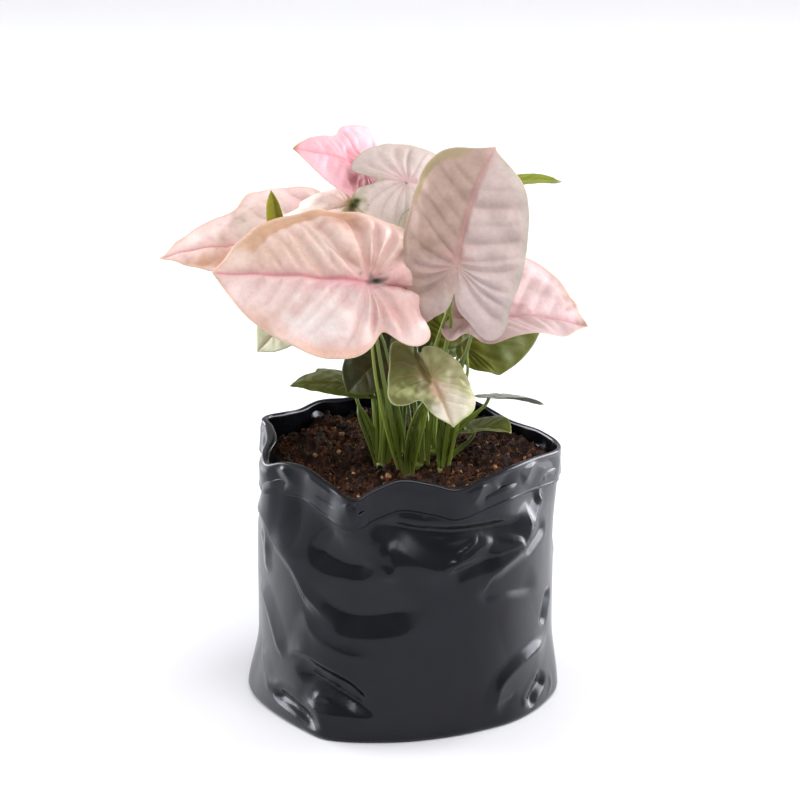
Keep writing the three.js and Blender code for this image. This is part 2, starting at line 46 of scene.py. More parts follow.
# Camera
AIM = np.array([-1.5, 0.0, 154.0])
DISTANCE = 1600.0
ELEVATION = np.radians(20)
FOCAL_PX, MIDDLE_PX = 3200.0, 400
AHEAD = np.array([0, np.cos(ELEVATION), -np.sin(ELEVATION)])
UPWARD = np.array([0, np.sin(ELEVATION), np.cos(ELEVATION)])
EYE = AIM - DISTANCE * AHEAD


def seen_at(points):
    """Pixel places of points in millimetres."""
    rel = points - EYE
    depth = rel @ AHEAD
    return MIDDLE_PX + FOCAL_PX * rel[..., 0] / depth, MIDDLE_PX - FOCAL_PX * (rel @ UPWARD) / depth


def ray(px, py):
    """Direction from the eye through a pixel."""
    return AHEAD + np.array([1, 0, 0]) * (px - MIDDLE_PX) / FOCAL_PX + UPWARD * (MIDDLE_PX - py) / FOCAL_PX


# Curves and noise


def smooth(x):
    """0 below 0, 1 above 1, and 3x^2 - 2x^3 between."""
    t = np.clip(x, 0, 1)
    return t * t * (3 - 2 * t)


def fades(share, part):
    """Rises from 0 to 1 over the first part of a line and falls back over its last part."""
    return smooth(share / part) * smooth((1 - share) / part)


def bell(x, width, power=2):
    """exp(-(x / width)^power): 1 in the middle and almost 0 two widths away."""
    return np.exp(-((x / width) ** power))


def unit(v):
    """Vectors of length 1 along the given ones."""
    return v / np.linalg.norm(v, axis=-1, keepdims=True)


def linear(code):
    """Linear RGB from a colour code."""
    c = np.array([int(code[i : i + 2], 16) for i in (1, 3, 5)]) / 255
    return np.where(c < 0.04045, c / 12.92, ((c + 0.055) / 1.055) ** 2.4)


def palette(codes):
    return np.array([linear(code) for code in codes.split()])


def hermite(x, xs, ys):
    """Cubic through (xs, ys) with each slope taken from the neighbours on both sides."""
    xs, ys = np.asarray(xs, float), np.asarray(ys, float)
    inner = (ys[2:] - ys[:-2]) / (xs[2:] - xs[:-2])
    slope = np.r_[(ys[1] - ys[0]) / (xs[1] - xs[0]), inner, (ys[-1] - ys[-2]) / (xs[-1] - xs[-2])]
    i = np.clip(np.searchsorted(xs, x, side="right") - 1, 0, len(xs) - 2)
    h = xs[i + 1] - xs[i]
    t = (x - xs[i]) / h
    m1, m2, d = slope[i] * h, slope[i + 1] * h, ys[i + 1] - ys[i]
    return ys[i] + t * (m1 + t * (3 * d - 2 * m1 - m2 + t * (m1 + m2 - 2 * d)))


def around(stations, azimuth):
    """The closed curve through stations (azimuth, value), read at azimuths in degrees."""
    xs, ys = np.array(stations, float).T
    a = (np.asarray(azimuth) - xs[0]) % 360 + xs[0]
    return hermite(a, np.r_[xs - 360, xs, xs + 360], np.tile(ys, 3))


def waves(x, y, length, seed, count=7):
    """Smooth noise between about -1 and 1: a sum of sines of about that wavelength in random directions."""
    rng = np.random.default_rng(seed)
    total = 0
    for _ in range(count):
        turn, shift = rng.uniform(0, 2 * np.pi, 2)
        k = 2 * np.pi / (length * rng.uniform(0.7, 1.5))
        total = total + np.sin(k * (x * np.cos(turn) + y * np.sin(turn)) + shift)
    return total / np.sqrt(count)


def resample(points, step=1.5):
    """Points along the smooth curve through the given ones, about a step apart."""
    points = np.asarray(points, float)
    along = np.r_[0, np.cumsum(np.linalg.norm(np.diff(points, axis=0), axis=1))]
    u = np.linspace(0, along[-1], max(int(along[-1] / step), 8))
    return np.stack([hermite(u, along, column) for column in points.T], -1)


def nearest(path, px, py):
    """Distance from places to a line of points, how far along it the nearest point lies, 0 to 1, and how far left."""
    x, y = np.ravel(px)[:, None], np.ravel(py)[:, None]
    a, d = path[:-1], np.diff(path, axis=0)
    square = np.maximum((d**2).sum(1), 1e-9)
    s = np.clip(((x - a[:, 0]) * d[:, 0] + (y - a[:, 1]) * d[:, 1]) / square, 0, 1)
    ox, oy = x - a[:, 0] - s * d[:, 0], y - a[:, 1] - s * d[:, 1]
    away = np.hypot(ox, oy)
    k = away.argmin(1)
    pick = np.arange(len(k)), k
    left = (d[k, 0] * oy[pick] - d[k, 1] * ox[pick]) / np.sqrt(square[k])
    return [found.reshape(np.shape(px)) for found in (away[pick], (k + s[pick]) / len(a), left)]


# Meshes


def grid_faces(rows, cols, wrap=True):
    """Quads of a grid of points stored row by row, closed round the columns if wrap."""
    r = np.arange(rows - 1)[:, None] * cols
    c = np.arange(cols if wrap else cols - 1)[None, :]
    n = (c + 1) % cols
    return np.stack([r + c, r + n, r + cols + n, r + cols + c], -1).reshape(-1, 4)


def fan_faces(pole, first, cols, turn=False):
    """Triangles from a pole to a ring of points."""
    c = np.arange(cols)
    n = (c + 1) % cols
    a, b = (first + n, first + c) if turn else (first + c, first + n)
    return np.stack([np.full(cols, pole), a, b], -1)


def capped(rows, cols, turn=False):
    """Faces of a grid closed round its columns and by poles at its first and last row, stored after it."""
    n = rows * cols
    quads = grid_faces(rows, cols)
    tris = np.concatenate([fan_faces(n, 0, cols, True), fan_faces(n + 1, n - cols, cols)])
    return (quads[:, [0, 3, 2, 1]], tris[:, ::-1]) if turn else (quads, tris)


def copies(faces, count, step):
    """The same faces for each of the bodies, which have step points each."""
    return (faces[None] + (np.arange(count) * step)[:, None, None]).reshape(-1, faces.shape[1])


def mesh_object(name, points, quads=None, tris=None, uv=None, tint=None, material=None):
    """An object from points in millimetres, quads and triangles, with a flat map and point colours."""
    points = np.asarray(points, float) / PER_METRE
    quads = np.zeros((0, 4), int) if quads is None else quads
    tris = np.zeros((0, 3), int) if tris is None else tris
    me = bpy.data.meshes.new(name)
    loops = np.concatenate([quads.ravel(), tris.ravel()]).astype(np.int32)
    sizes = np.r_[np.full(len(quads), 4), np.full(len(tris), 3)]
    me.vertices.add(len(points))
    me.vertices.foreach_set("co", points.astype(np.float32).ravel())
    me.loops.add(len(loops))
    me.loops.foreach_set("vertex_index", loops)
    me.polygons.add(len(sizes))
    me.polygons.foreach_set("loop_start", (np.cumsum(sizes) - sizes).astype(np.int32))
    me.polygons.foreach_set("use_smooth", np.ones(len(sizes), bool))
    me.update(calc_edges=True)
    if uv is not None:
        me.uv_layers.new(name="flat").data.foreach_set("uv", uv[loops].astype(np.float32).ravel())
    if tint is not None:
        colour = np.c_[np.clip(tint, 0, 1), np.ones(len(tint))].astype(np.float32)
        me.attributes.new("tint", "FLOAT_COLOR", "POINT").data.foreach_set("color", colour.ravel())
    me.validate()
    me.materials.append(material)
    return linked(name, me)


def linked(name, data):
    """A new object in the scene with that mesh, light or camera."""
    obj = bpy.data.objects.new(name, data)
    bpy.context.scene.collection.objects.link(obj)
    return obj


def seat(obj, slot, *nodes):
    """The piece rides on the object and stands for the nodes. The slot is not used."""
    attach(obj, "root")
    if nodes:
        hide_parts(*nodes)


# Materials


class Nodes:
    """Short calls that add shader nodes to a tree."""

    def __init__(self, tree):
        self.tree = tree
        tree.nodes.clear()

    def add(self, kind, **values):
        """A node with settings and sockets given by name, where _ stands for a space in a socket's name."""
        node = self.tree.nodes.new("ShaderNode" + kind)
        for key, value in values.items():
            if hasattr(node, key):
                setattr(node, key, value)
            else:
                self.put(node.inputs[key.replace("_", " ")], value)
        return node

    def put(self, socket, value):
        if isinstance(value, bpy.types.NodeSocket):
            self.tree.links.new(value, socket)
        else:
            socket.default_value = value

    def math(self, operation, a, b):
        node = self.add("Math", operation=operation)
        self.put(node.inputs[0], a)
        self.put(node.inputs[1], b)
        return node.outputs[0]

    def mix(self, factor, a, b, blend="MIX"):
        node = self.add("Mix", data_type="RGBA", blend_type=blend)
        for index, value in ((0, factor), (6, a), (7, b)):
            self.put(node.inputs[index], value)
        return node.outputs[2]

    def dyed(self, colour, red, green, blue):
        return self.mix(1.0, colour, (red, green, blue, 1), "MULTIPLY")

    def tint(self):
        return self.add("Attribute", attribute_name="tint").outputs["Color"]

    def place(self, stretch=(1, 1, 1), flat=False):
        """Object coordinates in metres, or the flat map, stretched."""
        where = self.add("UVMap", uv_map="flat").outputs[0] if flat else self.add("TexCoord").outputs["Object"]
        return self.add("Mapping", Vector=where, Scale=stretch).outputs[0]

    def noise(self, where, scale, detail, rough=0.55, twist=0.0):
        node = self.add("TexNoise", Vector=where, Scale=scale, Detail=detail, Roughness=rough, Distortion=twist)
        return node.outputs["Fac"]

    def ramp(self, factor, low, high, start=0.0, end=1.0):
        """start up to low, end from high on, and straight between."""
        return self.add("MapRange", Value=factor, From_Min=low, From_Max=high, To_Min=start, To_Max=end).outputs[0]

    def bump(self, height, strength, distance, **under):
        return self.add("Bump", Height=height, Strength=strength, Distance=distance, **under).outputs[0]

    def surface(self, colour, roughness, **more):
        return self.add("BsdfPrincipled", Base_Color=colour, Roughness=roughness, **more).outputs[0]


def made_material(name, paint, *numbers):
    """A material whose surface is what paint returns for its nodes and the numbers."""
    material = bpy.data.materials.new(name)
    material.use_nodes = True
    n = Nodes(material.node_tree)
    n.add("OutputMaterial", Surface=paint(n, *numbers))
    return material


def film_surface(n):
    """Black polythene: dark, glossy, with fine draw lines and a faint haze where it was creased."""
    where = n.place()
    haze = n.ramp(n.noise(where, 55, 5), 0.35, 0.75)
    colour = n.mix(haze, (0.0025, 0.0027, 0.004, 1), (0.005, 0.0054, 0.0078, 1))
    normal = n.bump(n.noise(n.place((1, 1, 0.25)), 900, 3), 0.05, 0.0002)
    normal = n.bump(n.noise(where, 110, 3, twist=0.6), 0.05, 0.001, Normal=normal)
    gloss = n.ramp(n.noise(where, 30, 4), 0.3, 0.7, 0.17, 0.25)
    return n.surface(colour, gloss, Normal=normal, Specular_IOR_Level=0.31, Specular_Tint=(0.9, 0.91, 1.0, 1))


def leaf_surface(n, roughness, through):
    """Leaf skin: the painted tint, a fine net of small veins, a satin face and some light coming through."""
    flat = n.place(flat=True)
    cells = n.add("TexVoronoi", Vector=flat, Scale=42.0, feature="DISTANCE_TO_EDGE").outputs["Distance"]
    net = n.ramp(cells, 0.0, 0.12, 1.0, 0.0)
    mottle = n.noise(flat, 22, 5, 0.6)
    colour = n.mix(n.math("MULTIPLY", net, 0.1), n.tint(), n.dyed(n.tint(), 0.86, 0.78, 0.74))
    dark, light = n.dyed(colour, 0.93, 0.93, 0.94), n.dyed(colour, 1.05, 1.05, 1.04)
    colour = n.mix(n.ramp(mottle, 0.3, 0.7), dark, light)
    normal = n.bump(n.noise(flat, 160, 3), 0.12, 0.0003)
    normal = n.bump(net, 0.25, 0.0002, Normal=normal)
    normal = n.bump(mottle, 0.3, 0.0009, Normal=normal)
    mixed = n.add("MixShader", Fac=through)
    n.put(mixed.inputs[1], n.surface(colour, roughness, Normal=normal, Specular_IOR_Level=0.25))
    n.put(mixed.inputs[2], n.add("BsdfTranslucent", Color=colour, Normal=normal).outputs[0])
    return mixed.outputs[0]


def stalk_surface(n):
    """Juicy green stalks with fine grooves along them."""
    streak = n.noise(n.place((3.0, 0.06, 1), flat=True), 22, 4)
    spots = n.noise(n.place(flat=True), 3, 4)
    colour = n.mix(n.ramp(streak, 0.35, 0.7), n.dyed(n.tint(), 0.72, 0.76, 0.7), n.tint())
    colour = n.mix(n.ramp(spots, 0.35, 0.75), colour, n.dyed(colour, 1.25, 1.2, 0.95))
    return n.surface(colour, 0.36, Normal=n.bump(streak, 0.35, 0.0004), Subsurface_Weight=0.12,
                     Subsurface_Radius=(0.4, 0.8, 0.2), Subsurface_Scale=0.002)


def soil_surface(n, bright):
    """Damp coco peat: each crumb's own tint over fine dark and rusty grain."""
    where = n.place()
    grain, clods = n.noise(where, 900, 6, 0.7), n.noise(where, 190, 5, 0.65)
    colour = n.mix(n.ramp(grain, 0.32, 0.7), n.dyed(n.tint(), 0.35, 0.3, 0.28), n.tint())
    colour = n.mix(n.ramp(clods, 0.4, 0.72), colour, n.dyed(colour, 1.5 * bright, 1.3 * bright, 1.1))
    normal = n.bump(clods, 0.7, 0.002, Normal=n.bump(grain, 0.8, 0.0008))
    return n.surface(colour, 0.86, Normal=normal, Specular_IOR_Level=0.3)


def floor_surface(n):
    """White backdrop paper, greyer where the bag stands and lighter further back, which is painted light that makes up
    for the lamps' light falling off there.
    """
    back = n.add("SeparateXYZ", Vector=n.place()).outputs["Y"]
    # Painted light: the paper grows lighter with distance behind the bag, where the lamps give less light. The noise
    # adds a random tone.
    tone = n.math("ADD", n.ramp(back, 0.2, 2.4, 0.0, 0.9), n.ramp(n.noise(n.place(), 3, 3), 0.3, 0.7, 0.0, 0.05))
    return n.surface(n.mix(tone, (0.66, 0.66, 0.685, 1), (0.9, 0.9, 0.91, 1)), 0.42, Specular_IOR_Level=0.25)


FILM = made_material("black_film", film_surface)
PINK_SKIN = made_material("leaf_pink_skin", leaf_surface, 0.5, 0.2)
GREEN_SKIN = made_material("leaf_green_skin", leaf_surface, 0.42, 0.12)
STALK = made_material("stalk_skin", stalk_surface)
SOIL = made_material("coco_peat", soil_surface, 1.0)
CRUMB = made_material("peat_crumbs", soil_surface, 1.1)
PAPER = made_material("pale_floor", floor_surface)

# The bag: its round lip, the cuff turned down from it, the round of its foot, and how far the wall's skin lies inside
# the solid's face.
MEAN_RADIUS = 74
LIP, CUFF_DEPTH, CUFF_OUT, UNDER_CUFF = 1.2, 17, 0.95, 9
FOOT_ROUND, INSET = 2.6, 0.2

# Rim as azimuth in degrees, radius and height.
RIM = [
    (-1, 79.5, 130), (19, 75.3, 128.7), (39, 71.8, 127.2), (66, 74.3, 132), (90, 70, 133),
    (116, 66.6, 134), (131, 66.6, 136), (145, 66, 135.6), (156, 67.6, 137.7), (168, 72.1, 139.6),
    (176, 67.7, 139), (187, 66, 137), (198, 71.9, 134.6), (206, 75.1, 132.8), (215, 72.4, 136.6),
    (226, 70, 137), (239.5, 71.9, 132.7), (252, 77.8, 129.6), (259, 71.4, 133.5), (269, 66, 136.8),
    (282, 67.4, 134.7), (291.5, 70.9, 132), (306, 69.4, 134), (320, 69.9, 135.5), (337, 71.7, 134),
]
BELLY = [
    (0, 76.5), (45, 73), (90, 72), (135, 72.5), (180, 73.8), (225, 73.5), (252, 74.5), (280, 72.5), (315, 73),
]
FOOT = [
    (0, 79.5), (25, 75), (50, 73), (70, 76), (85, 79), (105, 74.5), (135, 72.5), (165, 76), (182, 79.8),
    (191, 79.6), (213, 77.2), (229, 78.4), (240, 81.2), (248, 79.4), (261, 75.6), (282, 72.4),
    (302, 72.6), (318, 75.6), (340, 78.4), (351, 80),
]
RIM_RADIUS = [(a, r) for a, r, _ in RIM]
RIM_HEIGHT = [(a, h) for a, _, h in RIM]

# Folds of the film in the picture: pixel places along the fold, depth (plus stands out), widths on its left and right
# going along it, and the power that makes its crest sharp. They lie on the wall or on the cuff.
WALL_FOLDS = [
    ([(264, 485), (268, 512), (278, 536), (297, 566), (312, 596), (338, 634)], 5.0, 19, 4.5, 1.3),
    ([(264, 503), (266, 530), (268, 560)], 1.2, 4, 2.5, 1.5),
    ([(260, 572), (268, 604), (276, 634), (283, 662)], 1.8, 6, 3, 1.4),
    ([(262, 645), (266, 668), (270, 694)], 1.0, 4, 3, 1.5),
    ([(262, 520), (266, 548), (268, 575)], 1.2, 4, 4, 1.4),
    ([(268, 681), (284, 690), (300, 704), (318, 721), (328, 738)], 0.9, 3, 2, 1.4),
    ([(270, 690), (288, 703), (305, 718), (320, 737)], -3.0, 5, 2.2, 1.1),
    ([(286, 655), (300, 651), (330, 667), (355, 682), (370, 702)], 2.0, 7, 2, 1.5),
    ([(294, 668), (318, 681), (345, 698), (376, 716)], -3.4, 5, 3, 1.1),
    ([(312, 700), (322, 696), (333, 700)], 0.8, 2, 2.5, 1.5),
    ([(300, 700), (322, 712), (348, 717), (380, 720)], 0.9, 3, 4, 1.5),
    ([(362, 524), (374, 537), (398, 551), (424, 566), (442, 572), (474, 563)], 1.1, 5, 5, 1.3),
    ([(362, 520), (400, 529), (430, 533), (460, 533), (490, 529), (526, 518)], -3.2, 2.6, 10, 1.1),
    ([(428, 543), (450, 542), (472, 538), (496, 538)], 0.5, 1.3, 2.2, 1.3),
    ([(442, 568), (468, 558), (482, 547), (498, 538)], 1.3, 1.5, 3, 1.3),
    ([(452, 560), (470, 549), (481, 537)], 1.2, 1.6, 2, 1.5),
    ([(498, 538), (519, 541), (506, 549), (487, 557)], 1.2, 1.6, 3, 1.5),
    ([(446, 576), (472, 567), (500, 555)], -1.6, 2, 4, 1.1),
    ([(525, 500), (528, 528), (523, 545), (500, 567), (482, 585)], 2.8, 4, 7, 1.5),
    ([(478, 586), (484, 596), (510, 590), (538, 585)], -1.2, 7, 3, 1.1),
    ([(556, 470), (549, 488), (540, 505)], 1.4, 3, 3, 1.5),
    ([(540, 492), (535, 515), (531, 532)], 1.6, 2.5, 4, 1.5),
    ([(546, 520), (538, 536), (522, 556)], -1.6, 3, 4, 1.1),
    ([(550, 585), (546, 606), (543, 628)], -2.2, 3, 4, 1.1),
    ([(548, 632), (534, 648), (515, 666), (500, 684), (495, 703), (502, 718)], 2.8, 9, 4, 1.5),
    ([(546, 674), (536, 693), (529, 711)], -2.8, 2.5, 5, 1.1),
    ([(540, 668), (530, 688), (522, 711)], 0.8, 3, 2.5, 1.5),
    ([(550, 672), (551, 684), (547, 697)], 0.6, 2, 2, 1.5),
    ([(312, 540), (326, 556), (346, 566), (378, 568)], -3.6, 9, 4.5, 1.1),
    ([(380, 546), (393, 556), (395, 570), (380, 582)], 1.6, 4, 5, 1.5),
    ([(309, 576), (326, 602), (344, 615), (362, 618), (390, 616), (428, 608)], -4.2, 12, 7, 1.1),
    ([(300, 606), (316, 636), (346, 655), (380, 660)], 1.5, 5, 9, 1.5),
    ([(318, 500), (346, 520), (370, 545), (384, 562)], 0.7, 7, 4, 1.5),
    ([(430, 590), (470, 640), (490, 700)], 0.8, 22, 22, 1.5),
]
CUFF_FOLDS = [
    ([(353, 500), (359, 514), (366, 528)], -2.0, 1.6, 3, 1.1),
    ([(349, 501), (354, 514), (361, 526)], 1.2, 2, 4, 1.5),
    ([(270, 464), (277, 476), (288, 488)], -0.9, 3, 4, 1.2),
    ([(279, 463), (287, 477), (297, 488)], 1.0, 4, 4, 1.5),
    ([(303, 468), (318, 484), (334, 498)], 0.9, 5, 5, 1.5),
    ([(485, 480), (480, 495), (470, 508)], 1.0, 6, 6, 1.5),
    ([(538, 451), (532, 468), (524, 486)], 1.0, 5, 5, 1.5),
    ([(551, 450), (547, 466), (540, 484)], -1.0, 4, 4, 1.1),
    ([(514, 463), (508, 478), (500, 492)], -0.7, 5, 5, 1.1),
]
# Folds of the back: azimuths and heights along the fold, then the same numbers.
BACK_FOLDS = [
    ([(60, 104), (90, 98), (120, 101)], -3.0, 6, 6, 1.7),
    ([(28, 96), (34, 60), (42, 28)], -2.4, 8, 7, 1.5),
    ([(128, 92), (140, 56), (150, 20)], -2.4, 8, 7, 1.5),
    ([(84, 70), (92, 42), (100, 15)], 2.0, 8, 8, 1.5),
]
FOLD_FOOT, FOLD_REACH = 1.7, 3.2

SOIL_LEVEL = 117
CRUMB_SMALL, CRUMB_LARGE = 0.35, 1.5


def bag_radius(azimuth, z):
    """Radius of the film without folds: belly, spread to the foot under 34 mm and drawn to the rim over 88 mm."""
    rim, belly, foot = (around(s, azimuth) for s in (RIM_RADIUS, BELLY, FOOT))
    low, high = 1 - smooth(z / 34), smooth((z - 88) / 36)
    return belly + (foot - belly) * low + (rim - 1 - belly) * high


def on_bag(px, py, out):
    """Azimuth and height where the ray through a pixel meets the front of the bag, out of its plain wall."""
    way, azimuth, z = ray(px, py), 270.0, 70.0
    for _ in range(8):
        r = float(bag_radius(azimuth, z)) + out
        a, b, c = way[0] ** 2 + way[1] ** 2, EYE[:2] @ way[:2], EYE[0] ** 2 + EYE[1] ** 2 - r * r
        p = EYE + way * ((-b - np.sqrt(max(b * b - a * c, 0.0))) / a)
        azimuth, z = np.degrees(np.arctan2(p[1], p[0])) % 360, p[2]
    return azimuth, z


def unrolled(azimuth, start=0):
    """Way round the bag in millimetres, for azimuths within half a turn of the start."""
    return np.radians((azimuth - start + 180) % 360 - 180 + start) * MEAN_RADIUS


def strokes(azimuth, z, folds):
    """How far folds push the film out.

    On the unrolled film, in millimetres, each fold adds depth * (1 - d / w) ^ p * taper. d is the distance to its
    line, w the width on that side, p the power that makes its crest sharp, and the taper falls to 0 at both ends.
    """
    total = np.zeros_like(azimuth * z)
    for line, depth, left, right, sharp in folds:
        start = line[0][0]
        x, y = np.broadcast_arrays(unrolled(azimuth, start), z)
        path = np.array([(unrolled(a, start), h) for a, h in line])
        reach = FOLD_REACH * max(left, right)
        low, high = path.min(0) - reach, path.max(0) + reach
        box = (x > low[0]) & (x < high[0]) & (y > low[1]) & (y < high[1])
        if not box.any():
            continue
        away, share, to_left = nearest(path, x[box], y[box])
        taper = fades(share, 0.25)
        width = right + (left - right) * smooth(to_left / 3 + 0.5)
        width = FOLD_FOOT * width * (0.3 + 0.7 * np.sqrt(taper))
        total[box] += depth * np.clip(1 - away / width, 0, 1) ** sharp * taper
    return total


def random_folds(rng, count, low, high):
    """Seeded folds for the side of the bag that the picture doesn't show: slanted lines of mixed depth."""
    made = []
    for _ in range(count):
        a, h = rng.uniform(12, 168), rng.uniform(low, high)
        slant, drop = rng.uniform(-16, 16), rng.uniform(18, 48)
        bend = rng.uniform(-5, 5)
        line = [(a, h), (a + slant * 0.5 + bend, h - drop * 0.5), (a + slant, h - drop)]
        depth = rng.choice([-1, 1]) * rng.uniform(0.8, 2.4)
        made.append((resample(line), depth, rng.uniform(4, 9), rng.uniform(4, 9), rng.uniform(1.2, 1.6)))
    return made


def seen_folds(folds, out=0.0):
    """Folds of the picture, laid on the bag."""
    return [(resample([on_bag(x, y, out) for x, y in line]), *rest) for line, *rest in folds]


WALL = seen_folds(WALL_FOLDS) + random_folds(np.random.default_rng(5), 26, 60, 118)
WALL += [(resample(line), *rest) for line, *rest in BACK_FOLDS]
CUFF = seen_folds(CUFF_FOLDS, 2.0) + random_folds(np.random.default_rng(9), 12, 128, 140)


def film_radius(azimuth, z):
    """Outside of the folded wall: the plain radius, the folds and a fine crumple that fades to the foot."""
    crumple = 0.16 * np.abs(waves(np.radians(azimuth) * MEAN_RADIUS, z * 0.7, 40, 3)) - 0.1
    return bag_radius(azimuth, z) - INSET + (strokes(azimuth, z, WALL) + crumple) * smooth(z / 9)


def soil_height(x, y):
    """Soil surface: level, climbing to the back and right, mounded and lumpy round the stems."""
    r = np.hypot(x, y) / 72
    lumps = np.sin(x * 0.21 + 1) * np.cos(y * 0.17) + 0.6 * np.sin(x * 0.13 - y * 0.24)
    back, right = 8 * smooth((y - 0.6 * x + 12) / 75), 4 * smooth((x - 15) / 50)
    return SOIL_LEVEL + back + right + (3 + 0.7 * lumps) * np.maximum(1 - r * r, 0)


def round_bag(radius, azimuth):
    """x and y at a radius and an azimuth in degrees."""
    return radius * np.cos(np.radians(azimuth)), radius * np.sin(np.radians(azimuth))


def soil_edge(azimuth):
    return soil_height(*round_bag(70, azimuth))


def make_bag():
    """The film as one closed sheet swept round the bag.

    Its profile starts inside at the soil, climbs to the rim, turns over in a round lip, runs down the cuff to its
    hem, goes back up under the cuff and then down the wall to the flat bottom.
    """
    azimuth = np.r_[np.linspace(172, 368, 380, endpoint=False), np.linspace(8, 172, 110, endpoint=False)]
    top = around(RIM_HEIGHT, azimuth)
    start, neck, hem = soil_edge(azimuth) - 4, top - LIP, top - CUFF_DEPTH
    flare = 5 * bell(azimuth - 186, 17)
    rows = []

    def row(radius, height):
        rows.append(np.stack([*round_bag(radius, azimuth), height + 0 * azimuth], -1))

    for s in np.linspace(0, 1, 14):
        z = start + (neck - start) * s
        creases = 0.9 * waves(azimuth * 1.25, z * 0.25, 15, 13) * 4 * s * (1 - s)
        wall = film_radius(azimuth, z) * (1 - s) + (bag_radius(azimuth, z) - INSET) * s
        row(wall - 0.5 - 0.8 * s**3 + creases, z)

    lip_in = bag_radius(azimuth, neck) - (1.3 + 1.3 * bell(azimuth - 255, 45))
    lip_out = bag_radius(azimuth, neck) + CUFF_OUT + flare * 0.55
    for turn in np.linspace(0.1, 0.9, 9) * np.pi:
        row((lip_in + lip_out) / 2 - (lip_out - lip_in) / 2 * np.cos(turn), neck + 1.25 * np.sin(turn))

    for s in np.linspace(0, 1, 30):
        z = neck - (CUFF_DEPTH - LIP) * s
        spread = flare * (0.55 + 0.45 * smooth(s / 0.3))
        seam = 0.16 * bell(s - 0.95, 0.02) - 0.14 * bell(s - 0.89, 0.025)
        wobble = 0.35 * waves(np.radians(azimuth) * MEAN_RADIUS, z, 24, 8) * smooth(s / 0.4)
        folds = strokes(azimuth, z, CUFF) * smooth(s / 0.15)
        out = bag_radius(azimuth, z) + CUFF_OUT + spread + folds + seam + wobble
        row(out, z)
    row(out - 0.45, hem - 0.1)

    for s in (0.15, 0.5, 0.85):
        z = hem + UNDER_CUFF * s
        row(np.maximum(out - 0.5 - spread * s * 0.5, film_radius(azimuth, z) + 0.15), z)
    for s in (1.0, 0.66, 0.33):
        row(film_radius(azimuth, hem + UNDER_CUFF * s), hem + UNDER_CUFF * s)
    for s in np.linspace(0, 1, 104):
        z = hem + 0.6 - (hem + 0.6 - FOOT_ROUND) * s
        row(film_radius(azimuth, z), z)

    foot = bag_radius(azimuth, FOOT_ROUND + 0 * azimuth) - INSET
    for turn in np.array([0.3, 0.6, 0.85, 1.0]) * np.pi / 2:
        row(foot - 2.4 * (1 - np.cos(turn)), FOOT_ROUND - FOOT_ROUND * np.sin(turn))
    for share in (0.8, 0.5, 0.2):
        row((foot - 2.4) * share, 0.0)
    count, cols = len(rows), len(azimuth)
    points = np.concatenate([*rows, [[0, 0, 0]]])
    bottom = fan_faces(count * cols, (count - 1) * cols, cols, turn=True)
    seat(mesh_object("bag", points, grid_faces(count, cols)[:, ::-1], bottom, material=FILM), "bag_film", "grow_bag")


# The soil


def soil_grain(x, y):
    """Clods, pits and grains over the soil's height."""
    return 1.6 * waves(x, y, 16, 21) + 1.1 * waves(x, y, 6.5, 22) + 0.8 * np.abs(waves(x, y, 3.4, 23))


def make_soil():
    """Soil surface on rings out to the film, dipped at the edge, and closed underneath."""
    azimuth = np.linspace(0, 360, 330, endpoint=False)
    share = np.linspace(0.012, 1, 96)[:, None]
    x, y = round_bag((film_radius(azimuth, soil_edge(azimuth)) - 0.9) * share, azimuth)
    rough = soil_grain(x, y) - 1.2 * smooth((share - 0.93) / 0.07)
    points = np.stack([x, y, soil_height(x, y) + rough * smooth(share / 0.1)], -1)
    under = points[-1:] * (0.9, 0.9, 1) - (0, 0, 8)
    points = np.concatenate([points, under])
    rows, cols = points.shape[:2]
    points = np.concatenate([points.reshape(-1, 3), [[0, 0, float(soil_height(0, 0))], [0, 0, 110]]])
    shade = 0.5 + 0.5 * waves(points[:, 0], points[:, 1], 9, 31)[:, None]
    tint = linear("#1f120c") * (1 - shade) + linear("#40281c") * shade
    obj = mesh_object("soil_surface", points, *capped(rows, cols, turn=True), tint=tint, material=SOIL)
    seat(obj, "potting_soil", "soil")


def crumb_shape():
    """A small stone with 12 corners and 20 faces: the icosahedron."""
    g = (1 + 5**0.5) / 2
    flat = [(-1, g, 0), (1, g, 0), (-1, -g, 0), (1, -g, 0)]
    corners = np.concatenate([np.roll(flat, turn, axis=1) for turn in range(3)])
    faces = [(0, 11, 5), (0, 5, 1), (0, 1, 7), (0, 7, 10), (0, 10, 11), (1, 5, 9), (5, 11, 4), (11, 10, 2),
             (10, 7, 6), (7, 1, 8), (3, 9, 4), (3, 4, 2), (3, 2, 6), (3, 6, 8), (3, 8, 9), (4, 9, 5), (2, 4, 11),
             (6, 2, 10), (8, 6, 7), (9, 8, 1)]
    return corners / np.hypot(1, g), np.array(faces)


def turns(rng, count):
    """Random turn matrices, from random quaternions."""
    w, x, y, z = unit(rng.normal(size=(count, 4))).T
    rows = [
        (1 - 2 * (y * y + z * z), 2 * (x * y - z * w), 2 * (x * z + y * w)),
        (2 * (x * y + z * w), 1 - 2 * (x * x + z * z), 2 * (y * z - x * w)),
        (2 * (x * z - y * w), 2 * (y * z + x * w), 1 - 2 * (x * x + y * y)),
    ]
    return np.moveaxis(np.array(rows), 2, 0)


def strewn(rng, count, reach=0.97):
    """Places spread evenly over the soil, as far as that share of its radius."""
    a = rng.uniform(0, 360, count)
    return round_bag(np.sqrt(rng.uniform(0, 1, count)) * reach * (bag_radius(a, soil_edge(a)) - 3), a)


